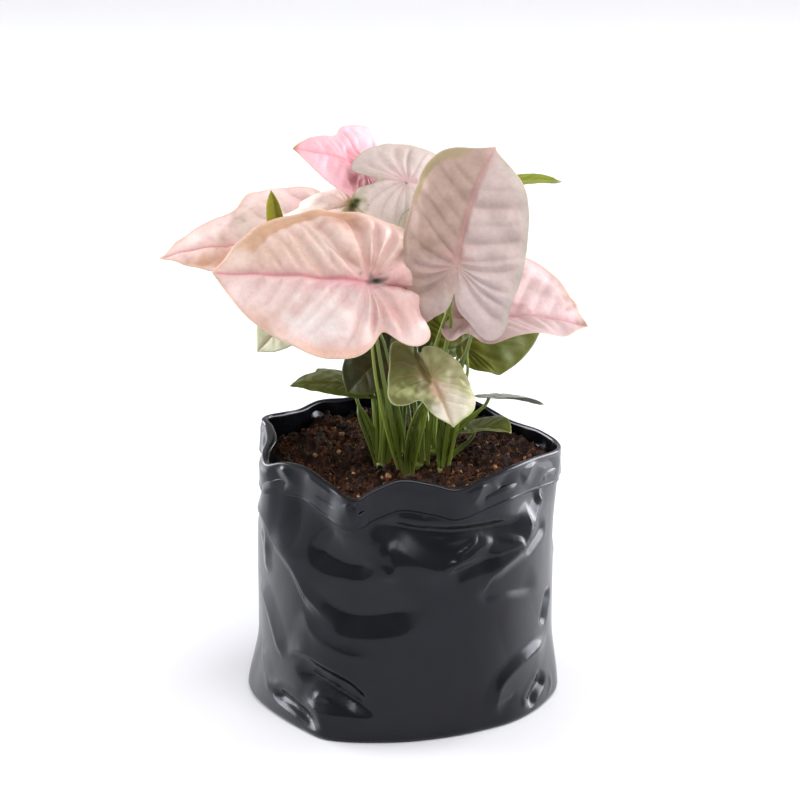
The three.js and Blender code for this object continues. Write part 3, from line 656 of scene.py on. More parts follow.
def make_crumbs(rng, name, count, colours):
    """Crumbs of peat or tan chips, strewn over the soil in one mesh. Size falls off steeply from the many small."""
    shape, faces = crumb_shape()
    corners = len(shape)
    x, y = strewn(rng, count)
    size = CRUMB_SMALL + (CRUMB_LARGE - CRUMB_SMALL) * rng.uniform(0, 1, count) ** 2.2
    z = soil_height(x, y) + soil_grain(x, y) + size * rng.uniform(-0.3, 0.45, count)
    body = shape[None] * rng.uniform(0.72, 1.25, (count, corners, 1))
    body = body * (size[:, None] * rng.uniform(0.55, 1.35, (count, 3)))[:, None, :]
    body = np.einsum("nij,nkj->nki", turns(rng, count), body)
    points = body + np.stack([x, y, z], -1)[:, None, :]
    tones = palette(colours)
    tint = np.repeat(tones[rng.integers(0, len(tones), count)] * rng.uniform(0.7, 1.2, (count, 1)), corners, 0)
    tris = copies(faces, count, corners)
    seat(mesh_object(name, points.reshape(-1, 3), tris=tris, tint=tint, material=CRUMB), "potting_soil")


def make_fibres(rng, count, steps=6):
    """Coir fibres: thin bent four-sided threads lying on the soil."""
    x, y = strewn(rng, count, 0.93)
    heading, bend = rng.uniform(0, 2 * np.pi, (count, 1)), rng.normal(0, 0.35, (count, 1))
    stride = rng.uniform(2.5, 8, (count, 1))
    u = np.linspace(0, 1, steps)
    angle = heading + bend * (u - 0.5) * 3
    px = x[:, None] + np.cumsum(np.cos(angle), 1) * stride / steps
    py = y[:, None] + np.cumsum(np.sin(angle), 1) * stride / steps
    inside = np.hypot(px, py).max(1) < 66
    px, py, angle = px[inside], py[inside], angle[inside]
    count = len(px)
    lift = rng.uniform(0.1, 0.7, (count, 1)) + rng.uniform(0, 1.2, (count, 1)) * np.sin(np.pi * u)
    thick = rng.uniform(0.09, 0.2, (count, 1))[..., None]
    middle = np.stack([px, py, soil_height(px, py) + soil_grain(px, py) + lift], -1)
    across = np.stack([-np.sin(angle), np.cos(angle), 0 * angle], -1) * thick
    above = np.array([0, 0, 1.0]) * thick
    points = np.stack([middle + across, middle + above, middle - across, middle - above], 2).reshape(-1, 3)
    tint = np.repeat(palette("#3b2115 #6b4127 #8d5d38 #5a3320")[rng.integers(0, 4, count)], steps * 4, 0)
    quads = copies(grid_faces(steps, 4), count, steps * 4)
    seat(mesh_object("soil_fibres", points, quads, tint=tint, material=CRUMB), "potting_soil")


make_bag()
make_soil()
crumb_rng = np.random.default_rng(77)
make_crumbs(crumb_rng, "soil_crumbs", 3600, "#20120c #352016 #4f2f1f #6d4129")
make_crumbs(crumb_rng, "soil_chips", 520, "#b8875a #d0a67a #a06a3e #8a4d28")
make_fibres(np.random.default_rng(78), 900)

# The plant

STEMS = {
    "left": (-10, -3), "front": (2, -14), "back_left": (-3, 6), "middle": (9, -3), "right": (18, -9), "back": (15, 12),
}

# Half outline of a blade: angle from the tip, seen from the stalk's joint, against distance from the joint.
OUTLINE = np.array([
    (0, 1), (5, 0.94), (12, 0.88), (22, 0.81), (36, 0.7), (54, 0.59), (75, 0.51), (97, 0.47), (118, 0.465),
    (137, 0.515), (151, 0.56), (162, 0.54), (171, 0.42), (178, 0.25), (180, 0.05),
])
LOBE_REACH, SIDE_REACH = 0.53, 0.5

# Blades: half the thickness of the skin, the angles of the veins in the lobes, and the directions round a stalk.
SKIN = 0.22
LOBE_VEINS = (86, 112, 134, 154)
ROUND = np.linspace(0, 2 * np.pi, 16, endpoint=False)

# What most leaves share. In a leaf, a pair gives its left and right half and a single number both.
PLAIN = dict(lobe=7, fold=8, curl=-12, full=0, waist=0, splay=0, lift=0, arch=12, sway=0, wave=0.6, ripples=3,
    phase=0, bow=(0, 0, 0), notch=0)
PAIRED = ("wide", "lobe", "fold", "curl", "full", "waist", "splay", "lift", "wave")

# The solids' table: stem, joint, tip, the way the face looks, and the blade's shape numbers. Against the solids, the
# notch, the trim and some widths, lobes, splays and the tip or joint of two blades are fitted closer to the picture.
LEAVES = {
    "front_left": dict(PLAIN,
        stem="front", at=(-17, -44, 230.5), tip=(-91.5, -44, 234.5), face=(-0.21, -0.77, 0.58), wide=(41, 42),
        lobe=(37, 30), fold=(-4, -8), curl=(10, -20), full=(-0.04, 0), waist=(0.3, 0), splay=(12, 2), lift=(-1, 3),
        arch=9, wave=1.2, phase=35, bow=(-9, -5, 1), notch=0.46),
    "front_right": dict(PLAIN,
        stem="middle", at=(26, -43, 237.5), tip=(44, -20, 289.5), face=(-0.1, -0.95, 0.3), wide=(29, 32.5),
        lobe=(36, 34), fold=9, curl=(-26, -18), full=(0.2, 0.04), waist=(0.06, 0), splay=(12, 13), sway=2.6, wave=0.8,
        ripples=4, phase=70, bow=(-6, -6, 10), notch=0.2),
    "right_pink": dict(PLAIN,
        stem="right", at=(36, -18, 203.5), tip=(91, -10, 196), face=(-0.03, -0.37, 0.91), wide=(42, 22),
        lobe=(20, 18), fold=(18, 16), curl=(-14, -12), arch=14, wave=(0.5, 2.6), ripples=5.6, phase=187, notch=0.2),
    "right_under": dict(PLAIN,
        stem="right", at=(29, 0, 184), tip=(67, 49, 194.5), face=(0.19, -0.54, 0.82), wide=(24, 27), lobe=(12, 10),
        curl=(-10, -14), arch=6, phase=55, bow=(3, -1, -1), notch=0.2),
    "front_small": dict(PLAIN,
        stem="front", at=(14, -45, 181), tip=(24, -66, 164), face=(0.1, -0.5, 0.86), wide=(18, 25), lobe=(20, 31),
        fold=10, curl=(-24, -22), full=(0.1, -0.4), waist=(0, 0.12), splay=-14, lift=3, arch=10, wave=1.2, phase=115,
        bow=(0, -2, 4), notch=0.5),
    "low_left": dict(PLAIN,
        stem="left", at=(-24, 0, 161), tip=(-56, -12, 166), face=(0.05, 0, 1), wide=(11, 21), lobe=14, fold=(-6, 10),
        curl=(-16, -12), full=(0, -0.2), arch=10, wave=0.2, phase=55),
    "low_right_grey": dict(PLAIN,
        stem="right", at=(43, 0, 156), tip=(71, 8, 149), face=(0.2, 0.34, 0.94), wide=11, fold=5, curl=-10, wave=0.3,
        bow=(-4, 10, 9)),
    "low_right": dict(PLAIN,
        stem="right", at=(36, -5, 140), tip=(54, -12, 141), face=(0.02, 0.1, 1.02), wide=(17, 15), lobe=8,
        fold=(16, 12), curl=(-10, -8), phase=25, bow=(0, -2, 0)),
    "far_left": dict(PLAIN,
        stem="left", at=(-39, 26, 230), tip=(-121, 8, 226), face=(0, -0.25, 0.97), wide=(29, 43), lobe=(12, 15),
        fold=(-4, 13), curl=(-24, -10), full=(-0.05, -0.22), arch=8, phase=115, bow=(11, 12, 30)),
    "new_rolled": dict(PLAIN,
        stem="left", at=(-60, -14, 243), tip=(-64, -13, 267), face=(0, -1, 0.2), wide=(7, 6), lobe=(5, 6), fold=34,
        curl=26, waist=(0, -1.1), arch=4, wave=0, bow=(17, -1, 29)),
    "top_left": dict(PLAIN,
        stem="back_left", at=(-21, 32, 267), tip=(-54, 12, 281), face=(-0.1, -0.45, 0.89), wide=(26, 32),
        lobe=(14, 34), fold=(-6, 8), curl=(-14, -8), arch=6, wave=0.4, ripples=4, phase=30, bow=(0, 2, 8),
        trim=((0, 1), (28, 0.62), (54, 0.62), (75, 0.8), (98, 1.05), (113, 1.38), (120, 1.52), (127, 1.25),
        (134, 0.88), (150, 0.8), (180, 1))),
    "top_middle": dict(PLAIN,
        stem="back_left", at=(2, 9, 265), tip=(32, 15, 254), face=(-0.16, -0.28, 0.96), wide=(34, 27), lobe=(26, 28),
        fold=(10, -52), curl=(-12, -18), splay=(-16, -6), lift=(1.5, -1.5), arch=10, wave=1, phase=55, bow=(2, 2, 8),
        notch=0.3),
    "cream": dict(PLAIN,
        stem="back_left", at=(-28, 18, 249.5), tip=(-72, 2, 238), face=(0, -0.21, 0.96), wide=(22, 18), lobe=(9, 10),
        fold=9, curl=-14, full=(0, -0.3), arch=10, wave=1.2, phase=125, bow=(2, 0, 8)),
    "behind_right": dict(PLAIN,
        stem="middle", at=(4, -8, 240), tip=(38, -4, 228), face=(0.03, -0.74, 0.58), wide=(20, 14), lobe=8, arch=8,
        ripples=4, bow=(0, 3, 4)),
    "tip_right": dict(PLAIN,
        stem="back", at=(38, 23, 256), tip=(78, 10, 264.5), face=(0, -0.05, 1), wide=(9.5, 11), fold=(12, 6),
        curl=(-14, -10), arch=14, wave=0.3, bow=(-10, 22, 7)),
    "left_under": dict(PLAIN,
        stem="left", at=(-51, -5, 203), tip=(-72, -10, 183), face=(-0.3, -0.6, 0.7), wide=15, lobe=10, arch=6,
        wave=0.5, bow=(14, 4, 30)),
    "inner_left": dict(PLAIN,
        stem="left", at=(-10, -10, 182), tip=(-28, -15, 163), face=(-0.3, -0.8, 0.5), wide=15, lobe=11, arch=8,
        phase=55),
    "inner_middle": dict(PLAIN,
        stem="middle", at=(-4, 22, 180), tip=(0, 36, 204), face=(-0.18, -0.91, 0.58), wide=20, lobe=17, arch=6,
        ripples=4, bow=(8, 7, 5)),
    "rear_right": dict(PLAIN,
        stem="back", at=(24, 51, 227), tip=(56, 87, 197), face=(0.35, 0.5, 0.79), wide=24, lobe=22, curl=-14,
        wave=1.2, bow=(3, 6, 24)),
    "rear_left": dict(PLAIN,
        stem="back_left", at=(-17, 54, 220), tip=(-47, 88, 198.5), face=(-0.34, 0.35, 0.83), wide=24, lobe=22,
        curl=-14, wave=1.2, phase=115, bow=(3, -3, 9)),
    "rear_low": dict(PLAIN,
        stem="back", at=(16, 39, 168.5), tip=(14, 76, 158), face=(0.39, 0.17, 1), wide=17, lobe=12, arch=10, wave=0.8,
        phase=55, bow=(0, 0, 4)),
}


def halves(numbers, side):
    """The number of each point's half of a blade, side 0 being the left half and 1 the right."""
    return np.broadcast_to(np.array(numbers, float), 2)[side]


def blade_frame(leaf):
    """Joint, chord length, and the directions ahead, up and left of a blade."""
    at = np.array(leaf["at"], float)
    chord = np.array(leaf["tip"], float) - at
    length = np.linalg.norm(chord)
    ahead = chord / length
    face = np.array(leaf["face"], float)
    up = unit(face - ahead * (face @ ahead))
    return at, length, ahead, up, np.cross(up, ahead)


def outline_reach(leaf, off):
    """The outline's reach at angles from the tip, with the notch behind the joint filled as far as the leaf says."""
    reach = hermite(off, OUTLINE[:, 0], OUTLINE[:, 1])
    return np.where(off > 150, np.maximum(reach, leaf["notch"] * smooth((off - 150) / 20)), reach)


def blade_surface(leaf, theta, t):
    """Middle surface of a blade.

    theta runs round from the tip, positive to the left, and t from the joint to the edge. The outline gives the
    reach in flat coordinates, along and across the midrib. The midrib is an arc of the given arch, and each half is
    an arc across it that starts at the fold angle and turns by the curl. The edge ripples with t cubed.
    Returns points, the direction of the thickness, and the flat coordinates.
    """
    at, length, ahead, up, left = blade_frame(leaf)
    side = (theta < 0).astype(int)
    wide, lobe, fold, curl, full, waist, splay, lift, wave = (halves(leaf[key], side) for key in PAIRED)
    off = np.abs(theta)
    back = smooth((off - 95) / 50) * (1 - smooth((off - 171) / 9))
    angle = np.radians(np.minimum(off - splay * back, 90 + off / 2))
    reach = t * outline_reach(leaf, off) * (1 + full * bell(off - 28, 18)) * (1 - waist * bell(off - 118, 24))
    if "trim" in leaf:
        reach = np.where(side == 1, reach * hermite(off, *zip(*leaf["trim"])), reach)
    along = reach * np.cos(angle) * np.where(np.cos(angle) > 0, length, lobe / LOBE_REACH)
    across = reach * np.sin(angle) * wide / SIDE_REACH
    s, bend = along / length, np.radians(leaf["arch"])
    turn = (2 * s - 1) * bend
    x = length / 2 * (1 + np.sin(turn) / np.sin(bend))
    z = length / (2 * np.sin(bend)) * (np.cos(turn) - np.cos(bend))
    fold, curl = np.radians(fold), np.radians(curl)
    end = fold + curl * across / wide
    y = wide / curl * (np.sin(end) - np.sin(fold))
    rise = -wide / curl * (np.cos(end) - np.cos(fold))
    pace = np.sin(np.radians(leaf["ripples"] * off + leaf["phase"])) * smooth(off / 30)
    out = rise + wave * t**3 * pace + lift * smooth(-along / lobe)
    sway = 4 * leaf["sway"] * s * (1 - np.maximum(s, 0))
    sign = np.where(theta >= 0, 1, -1)
    outward = ahead * np.sin(turn)[..., None] + up * np.cos(turn)[..., None]
    tilt = end * smooth(across / 4)
    normal = outward * np.cos(tilt)[..., None] - left * (sign * np.sin(tilt))[..., None]
    points = at + ahead * x[..., None] + up * z[..., None] + left * (sign * y + sway)[..., None]
    return points + outward * out[..., None], normal, np.stack([along, sign * across], -1)


def joint_of(leaf):
    """The blade's middle surface and thickness direction at its joint."""
    place, normal, _ = blade_surface(leaf, np.zeros(1), np.zeros(1))
    return place[0], normal[0]


def vein_field(leaf, look, theta, t, flat):
    """Distances in millimetres to the midrib and to the nearest side vein, and the number of that vein's cell.

    Side veins leave the midrib and run across as along / length = start + lean * b + rise * b^2, with b the share of
    the half width. Veins of the lobes leave the joint at set angles and bend back with t squared.
    """
    length = blade_frame(leaf)[1]
    side = (theta < 0).astype(int)
    wide, lean = halves(leaf["wide"], side), halves(look["lean"], side)
    share, alpha, off = np.abs(flat[..., 1]) / wide, flat[..., 0] / length, np.abs(theta)
    near, cell = np.full(theta.shape, 99.0), np.zeros(theta.shape)
    for k in range(look["pairs"]):
        start = 0.05 + 0.74 * (k / look["pairs"]) ** 1.05
        slant = lean * (1.05 - 0.35 * start)
        line = start + slant * share + 0.1 * share**2
        away = np.abs(alpha - line) * length / np.sqrt(1 + ((slant + 0.2 * share) * length / wide) ** 2)
        cell += alpha > line
        near = np.minimum(near, away + 0.9 * (np.sin(k * 2.4 + length) + 1))
    reach = t * outline_reach(leaf, off) / SIDE_REACH * wide
    for start in LOBE_VEINS:
        line = start - look["hook"] * t**2
        cell -= off > line
        near = np.minimum(near, reach * np.abs(np.radians(off - line)))
    return np.abs(flat[..., 1]), near, cell


def blend(colour, other, share):
    return colour + (np.asarray(other) - colour) * share[..., None]


def painted(colour, px, py, marks):
    """Blotches: each (x, y, rx, ry, turn, tone, strength) blends its tone in by exp(-d^2.4), d being the distance
    from the blotch's middle in its turned radii, made ragged by noise.
    """
    for x, y, rx, ry, turn, tone, share in marks:
        c, s = np.cos(np.radians(turn)), np.sin(np.radians(turn))
        u, v = ((px - x) * c + (py - y) * s) / rx, ((py - y) * c - (px - x) * s) / ry
        ragged = 1 + 0.3 * waves(px, py, 0.9 * min(rx, ry) + 4, int(x) % 97)
        colour = blend(colour, linear(tone), share * bell(np.hypot(u, v) * ragged, 1, 2.4))
    return colour


def blade_colours(look, theta, t, at_pixel, rib, near, cell, along, wide, dark, seed):
    """Colours of a blade's upper face.

    In order: the tones of both halves, a shade for each cell, bands at the edge, blotches (some of them painted
    shade), painted shade in the hollows along the veins and painted light on the cells between them, veins, midrib, a
    halo round the rib and the joint, painted shade along the creases, the rim's line and the spots on top (some
    painted shade).
    """
    inner, on_left = 1 - smooth((t - 0.72) / 0.26), smooth(np.where(theta > 0, 1, -1) * rib / 3 + 0.5)
    colour = blend(np.broadcast_to(linear(look["right"]), theta.shape + (3,)), linear(look["left"]), on_left)
    shades = np.random.default_rng(seed).uniform(0.95, 1.04, 40)
    shades = shades[(cell.astype(int) + np.where(theta > 0, 20, 8)) % 40]
    colour = colour * (1 + (shades - 1) * inner)[..., None]
    off = np.abs(theta)
    for side, start, stop, begin, tone, share in look["bands"]:
        here = (theta >= 0) == (side == "left")
        part = smooth((off - start) / 8) * smooth((stop - off) / 8) * smooth((t - begin) / 0.03) * here
        colour = blend(colour, linear(tone), part * share)
    colour = painted(colour, *at_pixel, look["marks"])
    # Painted shade: darker in the hollows along the veins. Painted light: 4 % lighter on the cells between them.
    vein_hollow_shade = bell(np.minimum(near, rib), 0.05 * wide, 1.5) * inner * smooth(t / 0.2)
    colour = colour * (1.04 - look["hollow"] * vein_hollow_shade[..., None] * np.array([0.8, 1.0, 1.0]))
    veins = bell(near, 0.3 + 0.25 * (1 - t)) * (0.4 + 0.4 * inner)
    ribs = bell(rib, 0.55 + 0.5 * (1 - t)) * smooth(along / 2 + 1)
    halo = bell(rib, 5) * 0.3 + bell(t, 0.16) * 0.35
    colour = blend(colour, linear(look["vein"]), veins * 0.5)
    colour = blend(colour, linear(look["rib"]), ribs * 0.85)
    colour = blend(colour, linear(look["vein"]), halo * look["glow"])
    # Painted shade: darker along the creases pressed into the blade.
    colour = blend(colour, colour * np.array([0.72, 0.6, 0.6]), dark * 0.35)
    colour = blend(colour, linear(look["edge"]), smooth((t - look["edge_at"]) / 0.03) * 0.85)
    return painted(colour, *at_pixel, look["spots"])


def make_leaf(name, leaf, look):
    """A blade with its veins pressed in, its cells puffed up between them, its midrib swollen below and its colours.

    Height over the middle surface = puff * (1 - exp(-(d / w)^2)) away from the veins - midrib groove + creases.
    """
    node = "leaf_" + name
    cols, rows = look["size"]
    spin = np.linspace(-1, 1, cols, endpoint=False)
    t = np.r_[np.linspace(0.02, 1, rows) ** 0.9, np.linspace(1, 0.02, rows // 2) ** 0.9][:, None]
    theta, t = np.broadcast_arrays(180 * (spin - 0.035 * np.sin(2 * np.pi * spin))[None, :], t)
    top = (np.arange(len(t)) < rows)[:, None]
    middle, normal, flat = blade_surface(leaf, theta, t)
    along = flat[..., 0]
    rib, near, cell = vein_field(leaf, look, theta, t, flat)
    at_pixel = seen_at(middle)
    wide, puff = np.mean(leaf["wide"]), look["puff"]

    inner = 1 - smooth((t - 0.72) / 0.26)
    height = puff * (1 - bell(np.minimum(near, rib), 0.075 * wide)) * inner * smooth(t / 0.12)
    height = height + 0.35 * puff * waves(along, flat[..., 1], 0.45 * wide, len(node) + 3) * smooth(t / 0.3)
    height = height - 0.55 * bell(rib, 0.9) * smooth(along / 3) * smooth((1 - t) / 0.1)
    # dark gathers where creases of negative depth press in, for the painted shade along them in blade_colours.
    dark = np.zeros(theta.shape)
    for line, depth, spread in look["creases"]:
        gap, share, _ = nearest(resample(line, 4), *at_pixel)
        height = height + depth * bell(gap, spread, 1.6) * fades(share, 0.2)
        if depth < 0:
            dark = np.maximum(dark, bell(gap, 0.5 * spread) * fades(share, 0.2))
    thick = np.where(top, SKIN, -SKIN - 0.75 * bell(rib, 1.1) * smooth(along / 3 + 0.4))
    thick = thick * (0.35 + 0.65 * smooth((1 - t) / 0.06 + 0.1))
    points = middle + normal * (height + thick)[..., None]

    colour = blade_colours(look, theta, t, at_pixel, rib, near, cell, along, wide, dark, len(node))
    under = blend(np.broadcast_to(linear(look["under"]), colour.shape), colour, np.full(theta.shape, 0.25))
    colour = np.where(top[..., None], colour, under) * look["bright"]

    place, up = joint_of(leaf)
    points = np.concatenate([points.reshape(-1, 3), place + up * np.array([[0.15], [-0.9]])])
    tint = np.concatenate([colour.reshape(-1, 3), colour[[0, -1], 0]])
    uv = np.concatenate([flat.reshape(-1, 2), np.zeros((2, 2))]) / 50
    obj = mesh_object("blade_" + name, points, *capped(len(t), cols, turn=True), uv, tint, look["skin"])
    seat(obj, look["slot"], node)


def stalk_path(leaf, count):
    """Points of a stalk from its stem to the joint, and their shares of the way. The curve is a cubic that starts
    upright and leaning, and ends near the blade's upward direction.
    """
    _, _, ahead, up, _ = blade_frame(leaf)
    joint = joint_of(leaf)[0]
    x, y = STEMS[leaf["stem"]]
    foot = np.array([x, y, float(soil_height(x, y)) - 0.5]) + 2 * unit(np.array([joint[0] - x, joint[1] - y, 0]))
    end = joint - up * 0.35
    span = np.linalg.norm(end - foot)
    lean = (end - foot) * np.array([0.12, 0.12, 0])
    a = foot + lean + np.array([0, 0, span * 0.42]) + np.array(leaf["bow"], float)
    b = end - unit(up * 0.7 + ahead * 0.15 + np.array([0, 0, 0.55])) * span * 0.28
    u = np.linspace(0, 1, count)
    v = u[:, None]
    return foot * (1 - v) ** 3 + 3 * a * v * (1 - v) ** 2 + 3 * b * v * v * (1 - v) + end * v**3, u


def tube(points, radii):
    """Closed round bar along a path: rings square to the path, carried on without twist, with a pole at each end."""
    along = unit(np.gradient(points, axis=0))
    u = unit(np.array([0, 1.0, 0]) - along * along[:, 1:2])
    w = np.cross(along, u)
    ring = u[:, None] * np.cos(ROUND)[None, :, None] + w[:, None] * np.sin(ROUND)[None, :, None]
    rings = points[:, None] + ring * radii[..., None]
    return np.concatenate([rings.reshape(-1, 3), points[:1], points[-1:]]), *capped(len(points), len(ROUND))


def make_stalks(name, spot):
    """A stem in the soil and the stalks of its leaves, each with two thin young stalks beside it.

    A stalk's radius is 0.85 + 0.45 * (1 - s)^1.3 mm, less a groove down one side, and wider by a quarter just under
    the blade.
    """
    node = "shoot_" + name
    rng = np.random.default_rng(len(node) * 7)
    top = float(soil_height(*spot)) + 2.5
    stem = np.array([(*spot, z) for z in (*np.linspace(100, top - 1, 8), top)])
    bars = [(stem, np.array([3.8] * 8 + [2.6])[:, None] * np.ones(len(ROUND)), np.linspace(0, 0.05, 9))]
    for leaf in LEAVES.values():
        if leaf["stem"] != name:
            continue
        path, s = stalk_path(leaf, 56)
        turn = rng.uniform(0, 2 * np.pi)
        groove = 0.16 * bell((ROUND - turn + np.pi) % (2 * np.pi) - np.pi, 0.45)
        radius = (0.85 + 0.45 * (1 - s) ** 1.3)[:, None] * (1 - groove)
        radius = radius * (1 + 0.25 * smooth((s - 0.965) / 0.035))[:, None]
        bars.append((path, radius, s))
        height = path[-1, 2] - path[0, 2]
        for push in rng.uniform(2.2, 4.5, 2) * rng.choice([-1, 1], 2):
            heading = rng.uniform(-0.5, 0.5)
            aside = np.array([np.cos(heading), np.sin(heading), 0]) * push * min(1, height / 75)
            away = (np.sin(np.pi * np.minimum(s / 0.8, 1)) ** 0.8 + 0.6 * (1 - s)) * smooth((0.8 - s) / 0.2)
            part = s < 0.82
            bars.append(((path + aside * away[:, None])[part], radius[part] * 0.8, s[part]))
    points, quads, tris, tint, base = [], [], [], [], 0
    for path, radius, s in bars:
        every, square, cap = tube(path, radius)
        points.append(every)
        quads.append(square + base)
        tris.append(cap + base)
        base += len(every)
        share = np.r_[np.repeat(s, len(ROUND)), s[0], s[-1]][:, None]
        foot, body, tip = linear("#8a9650"), linear(rng.choice(["#728230", "#86963c", "#5f6e2a"])), linear("#818c48")
        low, high = 1 - smooth(share / 0.12), smooth((share - 0.75) / 0.25)
        tint.append(body * (1 - low) * (1 - high) + foot * low + tip * high * (1 - low))
    points, quads, tris, tint = map(np.concatenate, (points, quads, tris, tint))
    seat(mesh_object("stalks_" + name, points, quads, tris, tint=tint, material=STALK), "stalk", node)


def look(family, tones, **more):
    """How a leaf looks: its family's values with its own tones, in the order of TONES, and its other values."""
    return dict(family, **dict(zip(TONES, tones.split()), **more))


TONES = ("left", "right", "under", "vein", "rib", "edge")
PINK = look({}, "#e8c4b6 #e8c4b6 #d8c4a8 #e39aa2 #dd8b96 #e6cfba", skin=PINK_SKIN, slot="leaf_pink", edge_at=0.96,
    lean=(0.3, 0.3), hook=16, pairs=7, puff=0.9, hollow=0.07, bands=[], marks=[], spots=[], creases=[],
    size=(200, 40), bright=0.88, glow=0.8)
GREEN = look(PINK, "#50591a #4a5318 #7c8450 #6c7430 #767e38 #5f6828", skin=GREEN_SKIN, slot="leaf_green", puff=0.6,
    glow=0.3)
PALE = look(PINK, "#a5ab7c #a5ab7c #a8b088 #b9b58c #c3a48c #c4c89a", skin=GREEN_SKIN, slot="leaf_pale_green",
    puff=0.4, glow=0.4)
MAUVE = look(PINK, "#bca093 #d6c2bd #b9ad8c #d9a9a6 #d79f9f", slot="leaf_mauve")

# The yellow-green curled edge in the gap between the cream and the top middle leaf, painted on both, with a dark spot
# inside it that is painted shade in the gap.
CURLED_EDGE_AND_GAP_SHADE = [(353, 205, 9, 11, 30, "#8f9430", 0.95), (353, 206, 5, 8, 30, "#2e330f", 1)]

